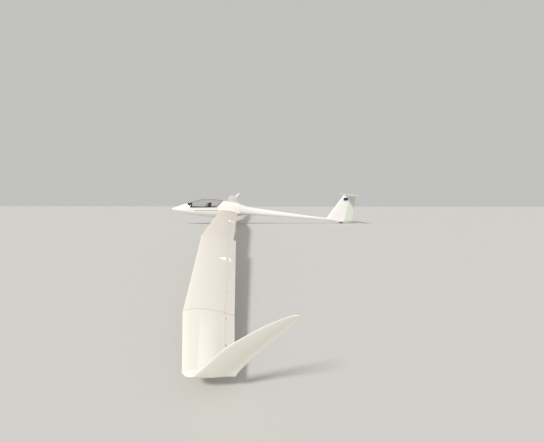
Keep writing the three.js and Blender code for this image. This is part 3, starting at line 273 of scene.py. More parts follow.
class GliderShape(bpy.types.PropertyGroup):
    """Fineness and small sizes of the finished pieces"""

    hull_sides: count_property("Hull sides", "Points round the fuselage", 72)
    hull_stations: count_property("Hull stations", "Rings along the forward fuselage", 62)
    section_points: count_property("Section points", "Points on each face of a wing section", 26)
    frame_width: length_property("Canopy frame width", "Width of the canopy's frame", 0.042)
    frame_depth: length_property("Canopy frame depth", "Thickness of the canopy's frame", 0.018)
    glass_depth: length_property("Glass thickness", "Thickness of the canopy's glass", 0.005)
    door_depth: length_property("Bay door thickness", "Thickness of the engine bay doors", 0.009)
    tape_width: length_property("Tape width", "Width of the tape over the wing joints", 0.018)


class GliderPaint(bpy.types.PropertyGroup):
    """Colours of the finished pieces"""

    hull: colour_property("Fuselage white", "Gelcoat of the fuselage", (0.90, 0.90, 0.87))
    # wing_root, wing_middle and wing_tip hold a painted reflection of a warm sky on white gelcoat, salmon at
    # the root and paling to cream at the tip
    wing_root: colour_property("Wing root", "Gelcoat of the wings at the root", (0.80, 0.63, 0.54))
    wing_middle: colour_property("Wing middle", "Gelcoat of the wings half way out", (0.86, 0.76, 0.67))
    wing_tip: colour_property("Wing tip", "Gelcoat of the wings at the tip", (0.88, 0.86, 0.79))
    tape: colour_property("Joint tape", "Tape over the wing joints", (0.80, 0.70, 0.61))
    # A thin dark grey line along the cockpit's side, below the sill
    side_line_grey: colour_property("Side stripe", "Thin line along the cockpit's side", (0.30, 0.29, 0.27))
    # Rudder: white gelcoat painted grey-green, a painted reflection of grass with painted shade
    rudder: colour_property("Rudder", "Paint of the rudder", (0.72, 0.77, 0.68))
    # Tailplane: white gelcoat painted a darker beige, as painted shade
    tailplane: colour_property("Tailplane", "Gelcoat of the tailplane", (0.72, 0.67, 0.56))
    # Canopy frame: the dark colour of the frame's inner half, beside the glass
    frame: colour_property("Canopy frame", "Paint of the canopy's frame", (0.05, 0.048, 0.046))
    glass: colour_property("Canopy tint", "Tint of the canopy's acrylic", (0.20, 0.13, 0.10))
    patch: colour_property("Fin patch", "Dark panel on the fin", (0.006, 0.02, 0.14))
    patch_pale: colour_property("Pale fin patch", "Pale panel under the dark one", (0.42, 0.55, 0.74))
    inside: colour_property("Cockpit grey", "Cockpit walls and seats", (0.33, 0.33, 0.32))
    well: colour_property("Well grey", "Wheel well and engine bay", (0.231, 0.231, 0.224))
    cloth: colour_property("Upholstery", "Cushions and headrests", (0.075, 0.08, 0.095))
    webbing: colour_property("Webbing", "Seat harness", (0.05, 0.07, 0.16))
    rubber: colour_property("Rubber", "Tyres and seals", (0.02, 0.02, 0.021))
    alloy: colour_property("Alloy", "Rims and fittings", (0.62, 0.63, 0.65))
    panel: colour_property("Panel black", "Instrument panels and grips", (0.018, 0.019, 0.021))


def shape():
    return bpy.context.scene.glider_shape


def paint():
    return bpy.context.scene.glider_paint


def curve(rows, column, key=lambda x: x):
    """A smooth rising-or-falling curve through one column of a table against its first column."""
    at = [key(row[0]) for row in rows]
    value = [row[column] for row in rows]
    rise = [(value[i + 1] - value[i]) / (at[i + 1] - at[i]) for i in range(len(at) - 1)]
    slope = [rise[0]]
    for before, after in zip(rise, rise[1:]):
        slope.append(0.0 if before * after <= 0 else 2 * before * after / (before + after))
    slope.append(rise[-1])

    def give(x):
        x = key(x)
        i = 0
        while i < len(at) - 2 and x > at[i + 1]:
            i += 1
        step = at[i + 1] - at[i]
        t = (x - at[i]) / step
        start = (1 + 2 * t) * (1 - t) ** 2 * value[i] + t * (1 - t) ** 2 * step * slope[i]
        end = t**2 * (3 - 2 * t) * value[i + 1] + t**2 * (t - 1) * step * slope[i + 1]
        return start + end

    return give


def root_of(x):
    return math.sqrt(max(x, 0.0))


hull_top = curve(HULL, 1, root_of)
hull_bottom = curve(HULL, 2, root_of)
hull_half = curve(HULL, 3, root_of)
hull_middle = curve(HULL, 4, root_of)
section_upper = curve(SECTION, 1, root_of)
section_lower = curve(SECTION, 2, root_of)


def lerp(a, b, t):
    return a + (b - a) * t


def new_verts(made):
    return [item for item in made["geom"] if isinstance(item, bmesh.types.BMVert)]


def loop_edges(verts):
    """The edges that join a ring's own vertices."""
    ring = set(verts)
    around = (edge for vert in verts for edge in vert.link_edges if edge.other_vert(vert) in ring)
    return list(dict.fromkeys(around))


def profile(bm, points):
    """A closed ring of vertices, made as a circle and moved to the points."""
    ring = bmesh.ops.create_circle(bm, cap_ends=False, segments=len(points), radius=1.0)["verts"]
    for vert, point in zip(ring, points):
        vert.co = point
    return ring


def extend(bm, ring, points):
    """Extrude a ring and move its new vertices to the points."""
    fresh = set(new_verts(bmesh.ops.extrude_edge_only(bm, edges=loop_edges(ring))))
    following = []
    for vert in ring:
        mates = (edge.other_vert(vert) for edge in vert.link_edges)
        following.append(next(mate for mate in mates if mate in fresh))
    for mate, point in zip(following, points):
        mate.co = point
    return following


def loft(rings):
    """A skin extruded from ring to ring, closed at its ends."""
    bm = bmesh.new()
    first = last = profile(bm, rings[0])
    for points in rings[1:]:
        last = extend(bm, last, points)
    for ring in (first, last):
        bmesh.ops.contextual_create(bm, geom=loop_edges(ring))
    bmesh.ops.recalc_face_normals(bm, faces=bm.faces)
    return bm


def prism(corners, along):
    """A solid swept from a flat outline of vertices along a vector."""
    bm = bmesh.new()
    face = bm.faces.new([bm.verts.new(corner) for corner in corners])
    made = bmesh.ops.extrude_face_region(bm, geom=[face])
    bmesh.ops.translate(bm, vec=along, verts=new_verts(made))
    bmesh.ops.recalc_face_normals(bm, faces=bm.faces)
    return bm


def side_prism(outline, y0, y1):
    return prism([(x * MM, y0 * MM, z * MM) for x, z in outline], (0, (y1 - y0) * MM, 0))


def cross_prism(outline, x0, x1):
    return prism([(x0 * MM, y * MM, z * MM) for y, z in outline], ((x1 - x0) * MM, 0, 0))


def block(x0, x1, y0, y1, z0, z1):
    """A box between two corners, in millimetres of the airframe."""
    bm = bmesh.new()
    size = Matrix.Diagonal(((x1 - x0) * MM, (y1 - y0) * MM, (z1 - z0) * MM, 1))
    middle = Matrix.Translation(((x0 + x1) / 2 * MM, (y0 + y1) / 2 * MM, (z0 + z1) / 2 * MM))
    bmesh.ops.create_cube(bm, size=1.0, matrix=middle @ size)
    return bm


def rod(start, end, radius, tip=None, sides=24):
    """A round bar between two points in millimetres."""
    start, end = Vector(start) * MM, Vector(end) * MM
    way = end - start
    turn = way.to_track_quat("Z", "Y").to_matrix().to_4x4()
    bm = bmesh.new()
    bmesh.ops.create_cone(
        bm,
        cap_ends=True,
        segments=sides,
        radius1=radius * MM,
        radius2=(radius if tip is None else tip) * MM,
        depth=way.length,
        matrix=Matrix.Translation((start + end) / 2) @ turn,
    )
    return bm


def turned(corners, axis, steps, closed=False):
    """A line of corners spun all the way round an axis through the origin."""
    bm = bmesh.new()
    line = [bm.verts.new(corner) for corner in corners]
    following = line[1:] + line[:1] if closed else line[1:]
    edges = [bm.edges.new(pair) for pair in zip(line, following)]
    bmesh.ops.spin(
        bm,
        geom=line + edges,
        cent=(0, 0, 0),
        axis=axis,
        angle=2 * math.pi,
        steps=steps,
        use_merge=True,
        dvec=(0, 0, 0),
    )
    bmesh.ops.remove_doubles(bm, verts=bm.verts, dist=TOUCH)
    bmesh.ops.recalc_face_normals(bm, faces=bm.faces)
    return bm


def merge(*parts):
    """Lay several meshes in one, as shells of their own."""
    whole = parts[0]
    for part in parts[1:]:
        mesh = bpy.data.meshes.new("part")
        part.to_mesh(mesh)
        part.free()
        whole.from_mesh(mesh)
        bpy.data.meshes.remove(mesh)
    return whole


def combine(base, tool, operation="DIFFERENCE", keep_tool=False):
    """Cut or join one closed solid with another."""
    work = []
    for bm in (base, tool):
        mesh = bpy.data.meshes.new("work")
        bm.to_mesh(mesh)
        for _ in range(MOST_FINISHES):
            mesh.materials.append(None)
        thing = bpy.data.objects.new("work", mesh)
        bpy.context.scene.collection.objects.link(thing)
        work.append(thing)
    base.free()
    if not keep_tool:
        tool.free()
    modifier = work[0].modifiers.new("cut", "BOOLEAN")
    modifier.operation = operation
    modifier.solver = "EXACT"
    modifier.object = work[1]
    ready = work[0].evaluated_get(bpy.context.evaluated_depsgraph_get())
    result = bmesh.new()
    result.from_mesh(ready.to_mesh())
    ready.to_mesh_clear()
    for thing in work:
        mesh = thing.data
        bpy.data.objects.remove(thing)
        bpy.data.meshes.remove(mesh)
    return result


def painted(bm, index):
    for face in bm.faces:
        face.material_index = index
    return bm


def bevel_all(bm, offset, segments=2, angle=40):
    edges = [e for e in bm.edges if len(e.link_faces) == 2 and e.calc_face_angle() > math.radians(angle)]
    bmesh.ops.bevel(
        bm, geom=edges, offset=offset * MM, affect="EDGES", segments=segments, profile=0.5, material=-1
    )
    return bm


def finish_piece(name, bm, looks, replaces=(), body="airframe", smooth="plain", place=AIR):
    """Put a finished mesh in the scene, riding on its body."""
    bmesh.ops.remove_doubles(bm, verts=bm.verts, dist=2 * TOUCH)
    bmesh.ops.dissolve_degenerate(bm, edges=bm.edges, dist=TOUCH)
    bmesh.ops.recalc_face_normals(bm, faces=bm.faces)
    limit = math.radians(SMOOTH_BELOW[smooth])
    piece = new_piece(name, bm, looks, place, limit)
    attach(piece, body)
    if replaces:
        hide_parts(*replaces)


def new_piece(name, bm, looks, place, limit=math.pi):
    """An object of the mesh in its place, smooth but for edges sharper than a limit."""
    bm.transform(place)
    for face in bm.faces:
        face.smooth = True
    for edge in bm.edges:
        edge.smooth = len(edge.link_faces) == 2 and edge.calc_face_angle() < limit
    mesh = bpy.data.meshes.new(name)
    bm.to_mesh(mesh)
    bm.free()
    for look in looks:
        mesh.materials.append(finish(look))
    piece = bpy.data.objects.new(name, mesh)
    bpy.context.scene.collection.objects.link(piece)
    return piece


# Materials


class Board:
    """A material's node tree with the airframe's own coordinates ready."""

    def __init__(self, name, **sockets):
        self.material = bpy.data.materials.new(name)
        self.material.use_nodes = True
        self.tree = self.material.node_tree
        self.shader = self.tree.nodes["Principled BSDF"]
        for socket, value in sockets.items():
            self.shader.inputs[socket.replace("_", " ")].default_value = value
        place = self.tree.nodes.new("ShaderNodeTexCoord")
        mapping = self.tree.nodes.new("ShaderNodeMapping")
        back = AIR.inverted()
        mapping.inputs["Rotation"].default_value = back.to_euler()
        mapping.inputs["Location"].default_value = back.translation
        self.tree.links.new(place.outputs["Object"], mapping.inputs["Vector"])
        self.point = mapping.outputs["Vector"]

    def add(self, kind, **settings):
        node = self.tree.nodes.new(kind)
        for key, value in settings.items():
            setattr(node, key, value)
        return node

    def link(self, source, target):
        self.tree.links.new(source, target)

    def noise(self, scale, detail=3.0, rough=0.5, stretch=None):
        source = self.point
        if stretch:
            squeeze = self.add("ShaderNodeMapping")
            squeeze.inputs["Scale"].default_value = stretch
            self.link(source, squeeze.inputs["Vector"])
            source = squeeze.outputs["Vector"]
        node = self.add("ShaderNodeTexNoise")
        node.inputs["Scale"].default_value = scale
        node.inputs["Detail"].default_value = detail
        node.inputs["Roughness"].default_value = rough
        self.link(source, node.inputs["Vector"])
        return node.outputs[0]

    def scaled(self, value, low, high, start=0.3, end=0.7):
        node = self.add("ShaderNodeMapRange")
        for key, number in zip(("From Min", "From Max", "To Min", "To Max"), (start, end, low, high)):
            node.inputs[key].default_value = number
        self.link(value, node.inputs["Value"])
        return node.outputs["Result"]

    def plug(self, value, socket):
        """Link an output to a socket, or set the socket's own number or colour."""
        if isinstance(value, bpy.types.NodeSocket):
            self.link(value, socket)
        else:
            socket.default_value = (*value, 1.0) if isinstance(value, tuple) else value

    def mix(self, factor, first, second):
        node = self.add("ShaderNodeMix", data_type="RGBA")
        for value, index in ((factor, 0), (first, 6), (second, 7)):
            self.plug(value, node.inputs[index])
        return node.outputs[2]

    def maths(self, operation, *values):
        node = self.add("ShaderNodeMath", operation=operation)
        for value, socket in zip(values, node.inputs):
            self.plug(value, socket)
        return node.outputs[0]

    def axes(self):
        node = self.add("ShaderNodeSeparateXYZ")
        self.link(self.point, node.inputs[0])
        return node.outputs

    def between(self, value, low, high):
        above, below = self.maths("GREATER_THAN", value, low), self.maths("LESS_THAN", value, high)
        return self.maths("MULTIPLY", above, below)

    def cloud(self, scale, detail, low=0, high=1, start=0.3, end=0.7, rough=0.5, stretch=None):
        """Noise spread over a range of values."""
        return self.scaled(self.noise(scale, detail, rough, stretch), low, high, start, end)

    def bump(self, height, distance, strength=1.0):
        node = self.add("ShaderNodeBump")
        node.inputs["Distance"].default_value = distance
        node.inputs["Strength"].default_value = strength
        self.link(height, node.inputs["Height"])
        self.link(node.outputs["Normal"], self.shader.inputs["Normal"])

    def colour(self, value):
        self.plug(value, self.shader.inputs["Base Color"])

    def roughness(self, value):
        self.plug(value, self.shader.inputs["Roughness"])


def darker(colour, share):
    return tuple(channel * share for channel in colour)


def gelcoat(name, colour, marks=(), gloss=0.4):
    """Polished gelcoat with light dust and a clear coat, and any marks painted over it in turn."""
    board = Board(name, Coat_Weight=gloss, Coat_Roughness=0.08, Specular_IOR_Level=gloss)
    shade = board.mix(board.cloud(0.7, 3, 0.0, 1.0, 0.35, 0.7), darker(colour, 0.98), colour)
    dust = board.cloud(55, 5, 0.0, 0.15, 0.6, 0.85, 0.6)
    shade = board.mix(dust, shade, darker(colour, 0.93))
    for mark in marks:
        shade = mark(board, shade)
    board.colour(shade)
    board.roughness(board.cloud(5, 4, 0.26, 0.4))
    board.bump(board.noise(7, 2), 0.0004, 0.25)
    return board.material


def span_sky_reflection(board, shade):
    """Painted reflection of a warm sky on the white wing gelcoat: salmon at the root, paling to cream at the
    tip.
    """
    _, y, _ = board.axes()
    out = board.maths("ABSOLUTE", y)
    p = paint()
    middle, tip = WING[1][0] * MM + SKY_REFLECTION_START, WING[-1][0] * MM
    shade = board.mix(board.scaled(out, 0, 1, SKY_REFLECTION_START, middle), tuple(p.wing_root), tuple(p.wing_middle))
    return board.mix(board.scaled(out, 0, 1, middle, tip), shade, tuple(p.wing_tip))


def joint_tape(board, shade):
    """Tape over the joints between the wing panels."""
    _, y, _ = board.axes()
    half = shape().tape_width / 2
    for side in (-1, 1):
        for place in stations(side)[:-1]:
            joint = place["base"].y * MM
            near = board.between(y, joint - half, joint + half)
            shade = board.mix(near, shade, tuple(paint().tape))
    return shade


def side_dark_line(board, shade):
    """A thin dark grey line along the cockpit's side, below the sill."""
    x, y, z = board.axes()
    line = board.between(z, SIDE_LINE["z"] * MM, (SIDE_LINE["z"] + SIDE_LINE["width"]) * MM)
    along = board.between(x, SIDE_LINE["x"][0] * MM, SIDE_LINE["x"][1] * MM)
    inside = board.maths("MULTIPLY", line, along)
    outer = board.maths("GREATER_THAN", board.maths("ABSOLUTE", y), SIDE_LINE["from"] * MM)
    return board.mix(board.maths("MULTIPLY", inside, outer), shade, tuple(paint().side_line_grey))


def fin_patch(board, shade):
    """Bare dark and pale panels on the fin, where the real one carries a mark."""
    x, _, z = board.axes()
    along = board.between(x, *(at * MM for at in PATCH["x"]))
    for rows, colour in ((PATCH["dark"], paint().patch), (PATCH["pale"], paint().patch_pale)):
        band = board.between(z, *(at * MM for at in rows))
        shade = board.mix(board.maths("MULTIPLY", along, band), shade, tuple(colour))
    return shade


def moulded(name, colour, rough=0.55, grain=420.0):
    """Moulded or textured plastic with a fine grain."""
    board = Board(name)
    board.colour(board.mix(board.cloud(3, 4), darker(colour, 0.82), colour))
    board.roughness(board.cloud(14, 3, rough - 0.07, rough + 0.1))
    board.bump(board.noise(grain, 2), 0.0004, 0.5)
    return board.material


def metal(name, colour, rough=0.3, stretch=(1, 30, 1)):
    """Machined or cast metal with faint tool marks."""
    board = Board(name, Metallic=1.0)
    board.colour(board.mix(board.cloud(22, 4), darker(colour, 0.8), colour))
    board.roughness(board.cloud(60, 3, rough - 0.08, rough + 0.12, rough=0.6, stretch=stretch))
    board.bump(board.noise(160, 3, 0.5, stretch), 0.0002, 0.35)
    return board.material


def rubber(name, colour):
    """Dusty rubber: greyer where dust lies, with a fine grain."""
    board = Board(name)
    dust = board.cloud(30, 5, 0, 0.55, 0.45, 0.75, 0.65)
    board.colour(board.mix(dust, colour, DUST))
    board.roughness(board.cloud(45, 3, 0.72, 0.92))
    board.bump(board.noise(700, 2), 0.0003, 0.6)
    return board.material


def woven(name, colour, pitch=900.0, sheen=0.3):
    """Woven cloth: two crossed sets of threads over a soft mottling."""
    board = Board(name, Sheen_Weight=sheen, Sheen_Roughness=0.5)
    threads = []
    for turn in ((0, 0, 0), (0, math.pi / 2, 0)):
        spin = board.add("ShaderNodeMapping")
        spin.inputs["Rotation"].default_value = turn
        board.link(board.point, spin.inputs["Vector"])
        wave = board.add("ShaderNodeTexWave", wave_type="BANDS", bands_direction="X")
        wave.inputs["Scale"].default_value = pitch / TURN
        wave.inputs["Distortion"].default_value = 0.4
        board.link(spin.outputs["Vector"], wave.inputs["Vector"])
        threads.append(wave.outputs["Fac"])
    weave = board.maths("MULTIPLY", threads[0], threads[1])
    soft = board.mix(board.cloud(25, 5, rough=0.6), darker(colour, 0.7), colour)
    board.colour(board.mix(board.scaled(weave, 0.0, 0.5, 0.1, 0.9), soft, darker(colour, 1.9)))
    board.roughness(board.cloud(60, 3, 0.78, 0.95))
    board.bump(weave, 0.0006, 0.6)
    return board.material


def clear_glass(name, tint):
    """Clear acrylic that shows its brown tint at a slant, with fine wiping marks."""
    board = Board(name, IOR=1.49)
    board.colour(board.mix(board.cloud(2, 3), darker(tint, 0.9), tint))
    board.roughness(board.cloud(120, 5, 0.02, 0.05, rough=0.6, stretch=(1, 8, 1)))
    slant = board.add("ShaderNodeLayerWeight").outputs["Facing"]
    board.link(board.scaled(slant, *GLASS_ALPHA, 0.45, 1.0), board.shader.inputs["Alpha"])
    return board.material


def frame_dark_inner_half(board, shade):
    """The frame darker along its inner half, beside the glass."""
    x, _, z = board.axes()
    depth = None
    for x0, z0, dx, dz in canopy_edges(0):
        across = board.maths("MULTIPLY", board.maths("SUBTRACT", x, x0 * MM), -dz)
        upward = board.maths("MULTIPLY", board.maths("SUBTRACT", z, z0 * MM), dx)
        inward = board.maths("ADD", across, upward)
        depth = inward if depth is None else board.maths("MINIMUM", depth, inward)
    edge = board.maths("GREATER_THAN", depth, PLAY * MM + (shape().frame_width - PLAY * MM) / 2)
    return board.mix(edge, shade, tuple(paint().frame))


# Each finish: its maker, the material's name, its colour or the paint that holds it, and what else it takes
FINISHES = {
    "hull": (gelcoat, "hull_gelcoat", "hull"),
    "pod": (gelcoat, "pod_gelcoat", "hull", (side_dark_line,)),
    "frame": (gelcoat, "frame_paint", "hull", (frame_dark_inner_half,)),
    # The wing's colour is white gelcoat with a painted warm sky reflection, paling from root to tip
    "wing": (gelcoat, "wing_gelcoat", "wing_middle", (span_sky_reflection, joint_tape), 0.15),
    "fin": (gelcoat, "fin_gelcoat", "hull", (fin_patch,)),
    # The rudder's grey-green is a painted grass reflection and painted shade on white gelcoat
    "rudder": (gelcoat, "rudder_gelcoat", "rudder"),
    # The tailplane's darker beige is painted shade on white gelcoat
    "tailplane": (gelcoat, "tailplane_gelcoat", "tailplane"),
    "inside": (moulded, "cockpit_paint", "inside", 0.6, 260.0),
    "well": (moulded, "well_paint", "well", 0.7, 160.0),
    "glass": (clear_glass, "canopy_acrylic", "glass"),
    "rubber": (rubber, "tyre_rubber", "rubber"),
    "alloy": (metal, "cast_alloy", "alloy", 0.32),
    "steel": (metal, "turned_steel", (0.5, 0.5, 0.52), 0.25),
    "gear": (moulded, "gear_enamel", (0.62, 0.63, 0.62), 0.32, 90.0),
    "panel": (moulded, "panel_black", "panel", 0.55, 700.0),
    "dial": (moulded, "dial_black", (0.012, 0.012, 0.013), 0.3, 900.0),
    "mark": (moulded, "dial_white", (0.8, 0.8, 0.78), 0.4, 900.0),
    "cloth": (woven, "seat_cloth", "cloth"),
    "webbing": (woven, "harness_webbing", "webbing", 2600.0, 0.1),
    "trim": (moulded, "grey_trim", (0.28, 0.28, 0.27), 0.5, 300.0),
    "engine": (metal, "engine_alloy", (0.46, 0.47, 0.49), 0.42, (1, 1, 1)),
    "knob_blue": (moulded, "knob_blue", (0.01, 0.05, 0.42), 0.35, 500.0),
    "knob_yellow": (moulded, "knob_yellow", (0.75, 0.5, 0.02), 0.35, 500.0),
    "knob_green": (moulded, "knob_green", (0.02, 0.3, 0.05), 0.35, 500.0),
}
_made = {}


def finish(name):
    """The named finish, made once."""
    if name not in _made:
        maker, title, colour, *rest = FINISHES[name]
        if isinstance(colour, str):
            colour = tuple(getattr(paint(), colour))
        _made[name] = maker(title, colour, *rest)
    return _made[name]


# Fuselage


def hull_ring(x, inset=0.0, sides=None):
    sides = sides or shape().hull_sides
    top, bottom = hull_top(x) - inset, hull_bottom(x) + inset
    half, middle = hull_half(x) - inset, hull_middle(x)
    power = 2 / HULL_ROUND
    ring = []
    for k in range(sides):
        angle = 2 * math.pi * k / sides
        across, up = math.sin(angle), math.cos(angle)
        reach = top - middle if up > 0 else middle - bottom
        y = half * math.copysign(abs(across) ** power, across)
        z = middle + reach * math.copysign(abs(up) ** power, up)
        ring.append(Vector((x, y, z)) * MM)
    return ring


def stations_between(start, end, count):
    """Hull stations, closer together at the nose."""
    a, b = root_of(start), root_of(end)
    return [lerp(a, b, i / count) ** 2 for i in range(count + 1)]


def hull_solid(start, end, inset=0.0, count=None):
    count = count or max(6, int(shape().hull_stations * (root_of(end) - root_of(start)) / root_of(POD_END)))
    return loft([hull_ring(x, inset) for x in stations_between(start, end, count)])


def hull_skin(span, depth, outer, inner):
    """The hull's skin along a span, of a depth, with the counts of its outer and inner stations."""
    start, end = span
    within = hull_solid(start - SKIN_PAST, end + SKIN_PAST, depth / MM, inner)
    return combine(hull_solid(start, end, count=outer), within)


def hull_side(x, z):
    middle = hull_middle(x)
    reach = hull_top(x) - middle if z > middle else middle - hull_bottom(x)
    return hull_half(x) * (1 - (abs(z - middle) / reach) ** HULL_ROUND) ** (1 / HULL_ROUND)


def canopy_edges(inset):
    """The canopy's front edge, sill and rear edge in side view, drawn in by inset: a point and its way."""
    edges = []
    pairs = ((CANOPY_FRONT_TOP, SILL_FRONT), (SILL_FRONT, SILL_REAR), (SILL_REAR, CANOPY_REAR_TOP))
    for (x0, z0), (x1, z1) in pairs:
        length = math.hypot(x1 - x0, z1 - z0)
        dx, dz = (x1 - x0) / length, (z1 - z0) / length
        edges.append((x0 - dz * inset, z0 + dx * inset, dx, dz))
    return edges


def canopy_outline(inset):
    """The canopy's outline in side view, drawn in by inset."""

    def meet(p, q):
        t = ((q[0] - p[0]) * q[3] - (q[1] - p[1]) * q[2]) / (p[2] * q[3] - p[3] * q[2])
        return (p[0] + p[2] * t, p[1] + p[3] * t)

    lines = [(0, CANOPY_TOP, 1, 0), *canopy_edges(inset)]
    return [meet(*pair) for pair in zip(lines, lines[1:] + lines[:1])]


def canopy_prism(inset):
    return side_prism(canopy_outline(inset), -ACROSS, ACROSS)


def bay_outline(inset):
    """The engine bay in side view, square to the doors' hinges at its rear, drawn in by inset."""
    (front, end), (high, low) = BAY["x"], BAY_HINGE["z"]
    slope = (high - low) / (BAY_HINGE["x"][1] - BAY_HINGE["x"][0])
    floor, top = BAY["floor"], BAY["top"]
    rear = [(end - inset * math.hypot(1, slope) + (z - low) * slope, z) for z in (top, floor)]
    return [(front + inset, floor), (front + inset, top), *rear]


def chord_steps():
    """Shares of a chord, closer together at both of its ends."""
    count = shape().section_points
    return [0.5 * (1 - math.cos(math.pi * k / count)) for k in range(count + 1)]


def section_ring(base, chord, up, incidence, thick=1.0):
    """A wing section's ring from the upper trailing edge round the nose to the lower one."""
    cos, sin = math.cos(incidence), math.sin(incidence)
    steps = chord_steps()
    rows = [(u, section_upper(u)) for u in reversed(steps)] + [(u, section_lower(u)) for u in steps[1:]]
    ring = []
    for u, height in rows:
        along, height = (u - MID_CHORD) * chord, height * chord * thick
        point = base + up * (height * cos - along * sin)
        ring.append(Vector((point.x + along * cos + height * sin, point.y, point.z)) * MM)
    return ring


def knuckle(centre, axis, foot, arm):
    """An open hinge knuckle: its ears with the pin, and its lug."""
    centre, foot, arm = Vector(centre), Vector(foot), Vector(arm)
    size = KNUCKLE
    spread, eye = size["spread"], size["eye"]

    def disc(by, half, radius):
        return rod(centre + axis * (by - half), centre + axis * (by + half), radius, sides=20)

    def stalk(start, end):
        return rod(start, end, size["stalk"], sides=10)

    ears = [disc(0, spread, size["pin"])]
    for hand in (-spread, spread):
        ears += [disc(hand, size["ear"], eye), stalk(centre + axis * hand, foot + axis * hand)]
    lug = combine(disc(0, size["lug"], eye), stalk(centre, arm), "UNION")
    lug = combine(lug, disc(0, 2 * size["lug"], size["bore"]))
    return merge(*ears), lug


def canopy_knuckles():
    hinge = CANOPY_HINGE
    made = []
    for x in hinge["x"]:
        low, high = hinge["z"] - hinge["down"], hinge["z"] + hinge["up"]
        foot = (x, hull_side(x, low) - WALL / 2, low)
        arm = (x, hull_side(x, high) - hinge["inside"], high)
        made.append(knuckle((x, hinge["y"], hinge["z"]), Vector((1, 0, 0)), foot, arm))
    return made


def bay_knuckles(side):
    start, end = (Vector((BAY_HINGE["x"][i], side * BAY_HINGE["y"], BAY_HINGE["z"][i])) for i in (0, 1))
    axis = (end - start).normalized()
    made = []
    for t in BAY_HINGE["knuckles"]:
        centre = start.lerp(end, t)
        foot, arm = (centre + Vector((0, side * y, z)) for y, z in (BAY_HINGE_FOOT, BAY_HINGE_ARM))
        made.append(knuckle(centre, axis, foot, arm))
    return made


class GLIDER_OT_fuselage(bpy.types.Operator):
    """Forward fuselage with its cockpit tub, wing stubs, wheel well and engine bay"""

    bl_idname = "glider.fuselage"
    bl_label = "Fuselage"

    def execute(self, context):
        pod = hull_solid(0, POD_END - FIT / 2, count=shape().hull_stations)
        for side in (-1, 1):
            pod = combine(pod, self.root_fairing(side), "UNION")
        tub = combine(hull_solid(*TUB_SPAN, WALL), side_prism(TUB, -ACROSS, ACROSS), "INTERSECT")
        pod = combine(pod, painted(tub, 1))
        pod = combine(pod, painted(canopy_prism(0), 1))
        (x0, x1), half, top = WELL
        pod = combine(pod, painted(block(x0, x1, -half, half, -100, top), 2))
        pod = combine(pod, painted(side_prism(bay_outline(0), -BAY["half"], BAY["half"]), 2))
        hook, (x0, x1) = TOW_HOOK, TOW_HOOK["x"]
        floor = hull_bottom((x0 + x1) / 2)
        box = block(x0, x1, -hook["half"], hook["half"], floor - hook["drop"], floor + hook["bite"])
        ears = [fixed for fixed, _ in canopy_knuckles() + bay_knuckles(-1) + bay_knuckles(1)]
        pod = merge(pod, painted(merge(bevel_all(box, hook["round"]), *ears), 3))
        nodes = ("fuselage_pod", "fuselage_centre", "wing_root_left", "wing_root_right")
        finish_piece("fuselage_shell", pod, ("pod", "inside", "well", "alloy"), nodes)
        self.boom()
        return {"FINISHED"}

    def root_fairing(self, side):
        """The swelling on the hull's side that the wing plugs on to."""
        chord0, te = WING[0][1], WING[0][2]
        rings = []
        for y, stretch, thick in FILLET:
            chord = chord0 * stretch
            reach = y - FIT / 2 if y == WING[0][0] else y
            middle = te - chord * MID_CHORD + FILLET_AFT * (chord - chord0)
            base = Vector((middle, side * reach, WING_ROOT_Z))
            rings.append(section_ring(base, chord, Vector((0, 0, 1)), INCIDENCE, thick))
        return loft(rings)

    def boom(self):
        start, end, count = POD_END + FIT / 2, BOOM["end"], BOOM["rings"]
        marks = [start + (end - POD_END) * i / count for i in range(count + 1)]
        boom = loft([hull_ring(min(x, end), 0, BOOM["sides"]) for x in marks])
        wheel, room = TAIL_WHEEL, TAIL_SLOT
        hub, x = seated_height(wheel, 0), wheel["x"]
        long, wide = wheel["radius"] + room["ends"], wheel["tread"] + room["sides"]
        slot = block(x - long, x + long, -wide, wide, -FAR, hub + wheel["radius"] + room["top"])
        boom = combine(boom, painted(slot, 1))
        (x0, z0), (x1, z1) = RUDDER_HINGE
        lean = (x1 - x0) / (z1 - z0)
        front = [(x1 - RUDDER_ROOM, z1), (x0 - z0 * lean - RUDDER_ROOM, 0)]
        behind = [front[1], (x1 + FAR, 0), (x1 + FAR, z1), front[0]]
        boom = combine(boom, side_prism(behind, -BOOM["across"], BOOM["across"]))
        axle = rod((x, -room["axle"], hub), (x, room["axle"], hub), wheel["axle"])
        finish_piece("boom_shell", merge(boom, painted(axle, 2)), ("hull", "well", "steel"), ("tail_boom",))


class GLIDER_OT_canopy(bpy.types.Operator):
    """Canopy frame and its clear glass"""

    bl_idname = "glider.canopy"
    bl_label = "Canopy"

    def execute(self, context):
        s = shape()
        width = s.frame_width / MM
        rim = combine(hull_skin(CANOPY_SPAN, s.frame_depth, 40, 44), canopy_prism(PLAY), "INTERSECT")
        rim = combine(rim, canopy_prism(width))
        lugs = [lug for _, lug in canopy_knuckles()]
        rim = merge(rim, painted(merge(*lugs), 1))
        finish_piece("canopy_rim", rim, ("frame", "alloy"), ("canopy_frame",), "canopy")
        pane = combine(hull_skin(CANOPY_SPAN, s.glass_depth, 48, 52), canopy_prism(width + FIT), "INTERSECT")
        finish_piece("canopy_pane", pane, ("glass",), ("canopy_glass",), "canopy")
        return {"FINISHED"}


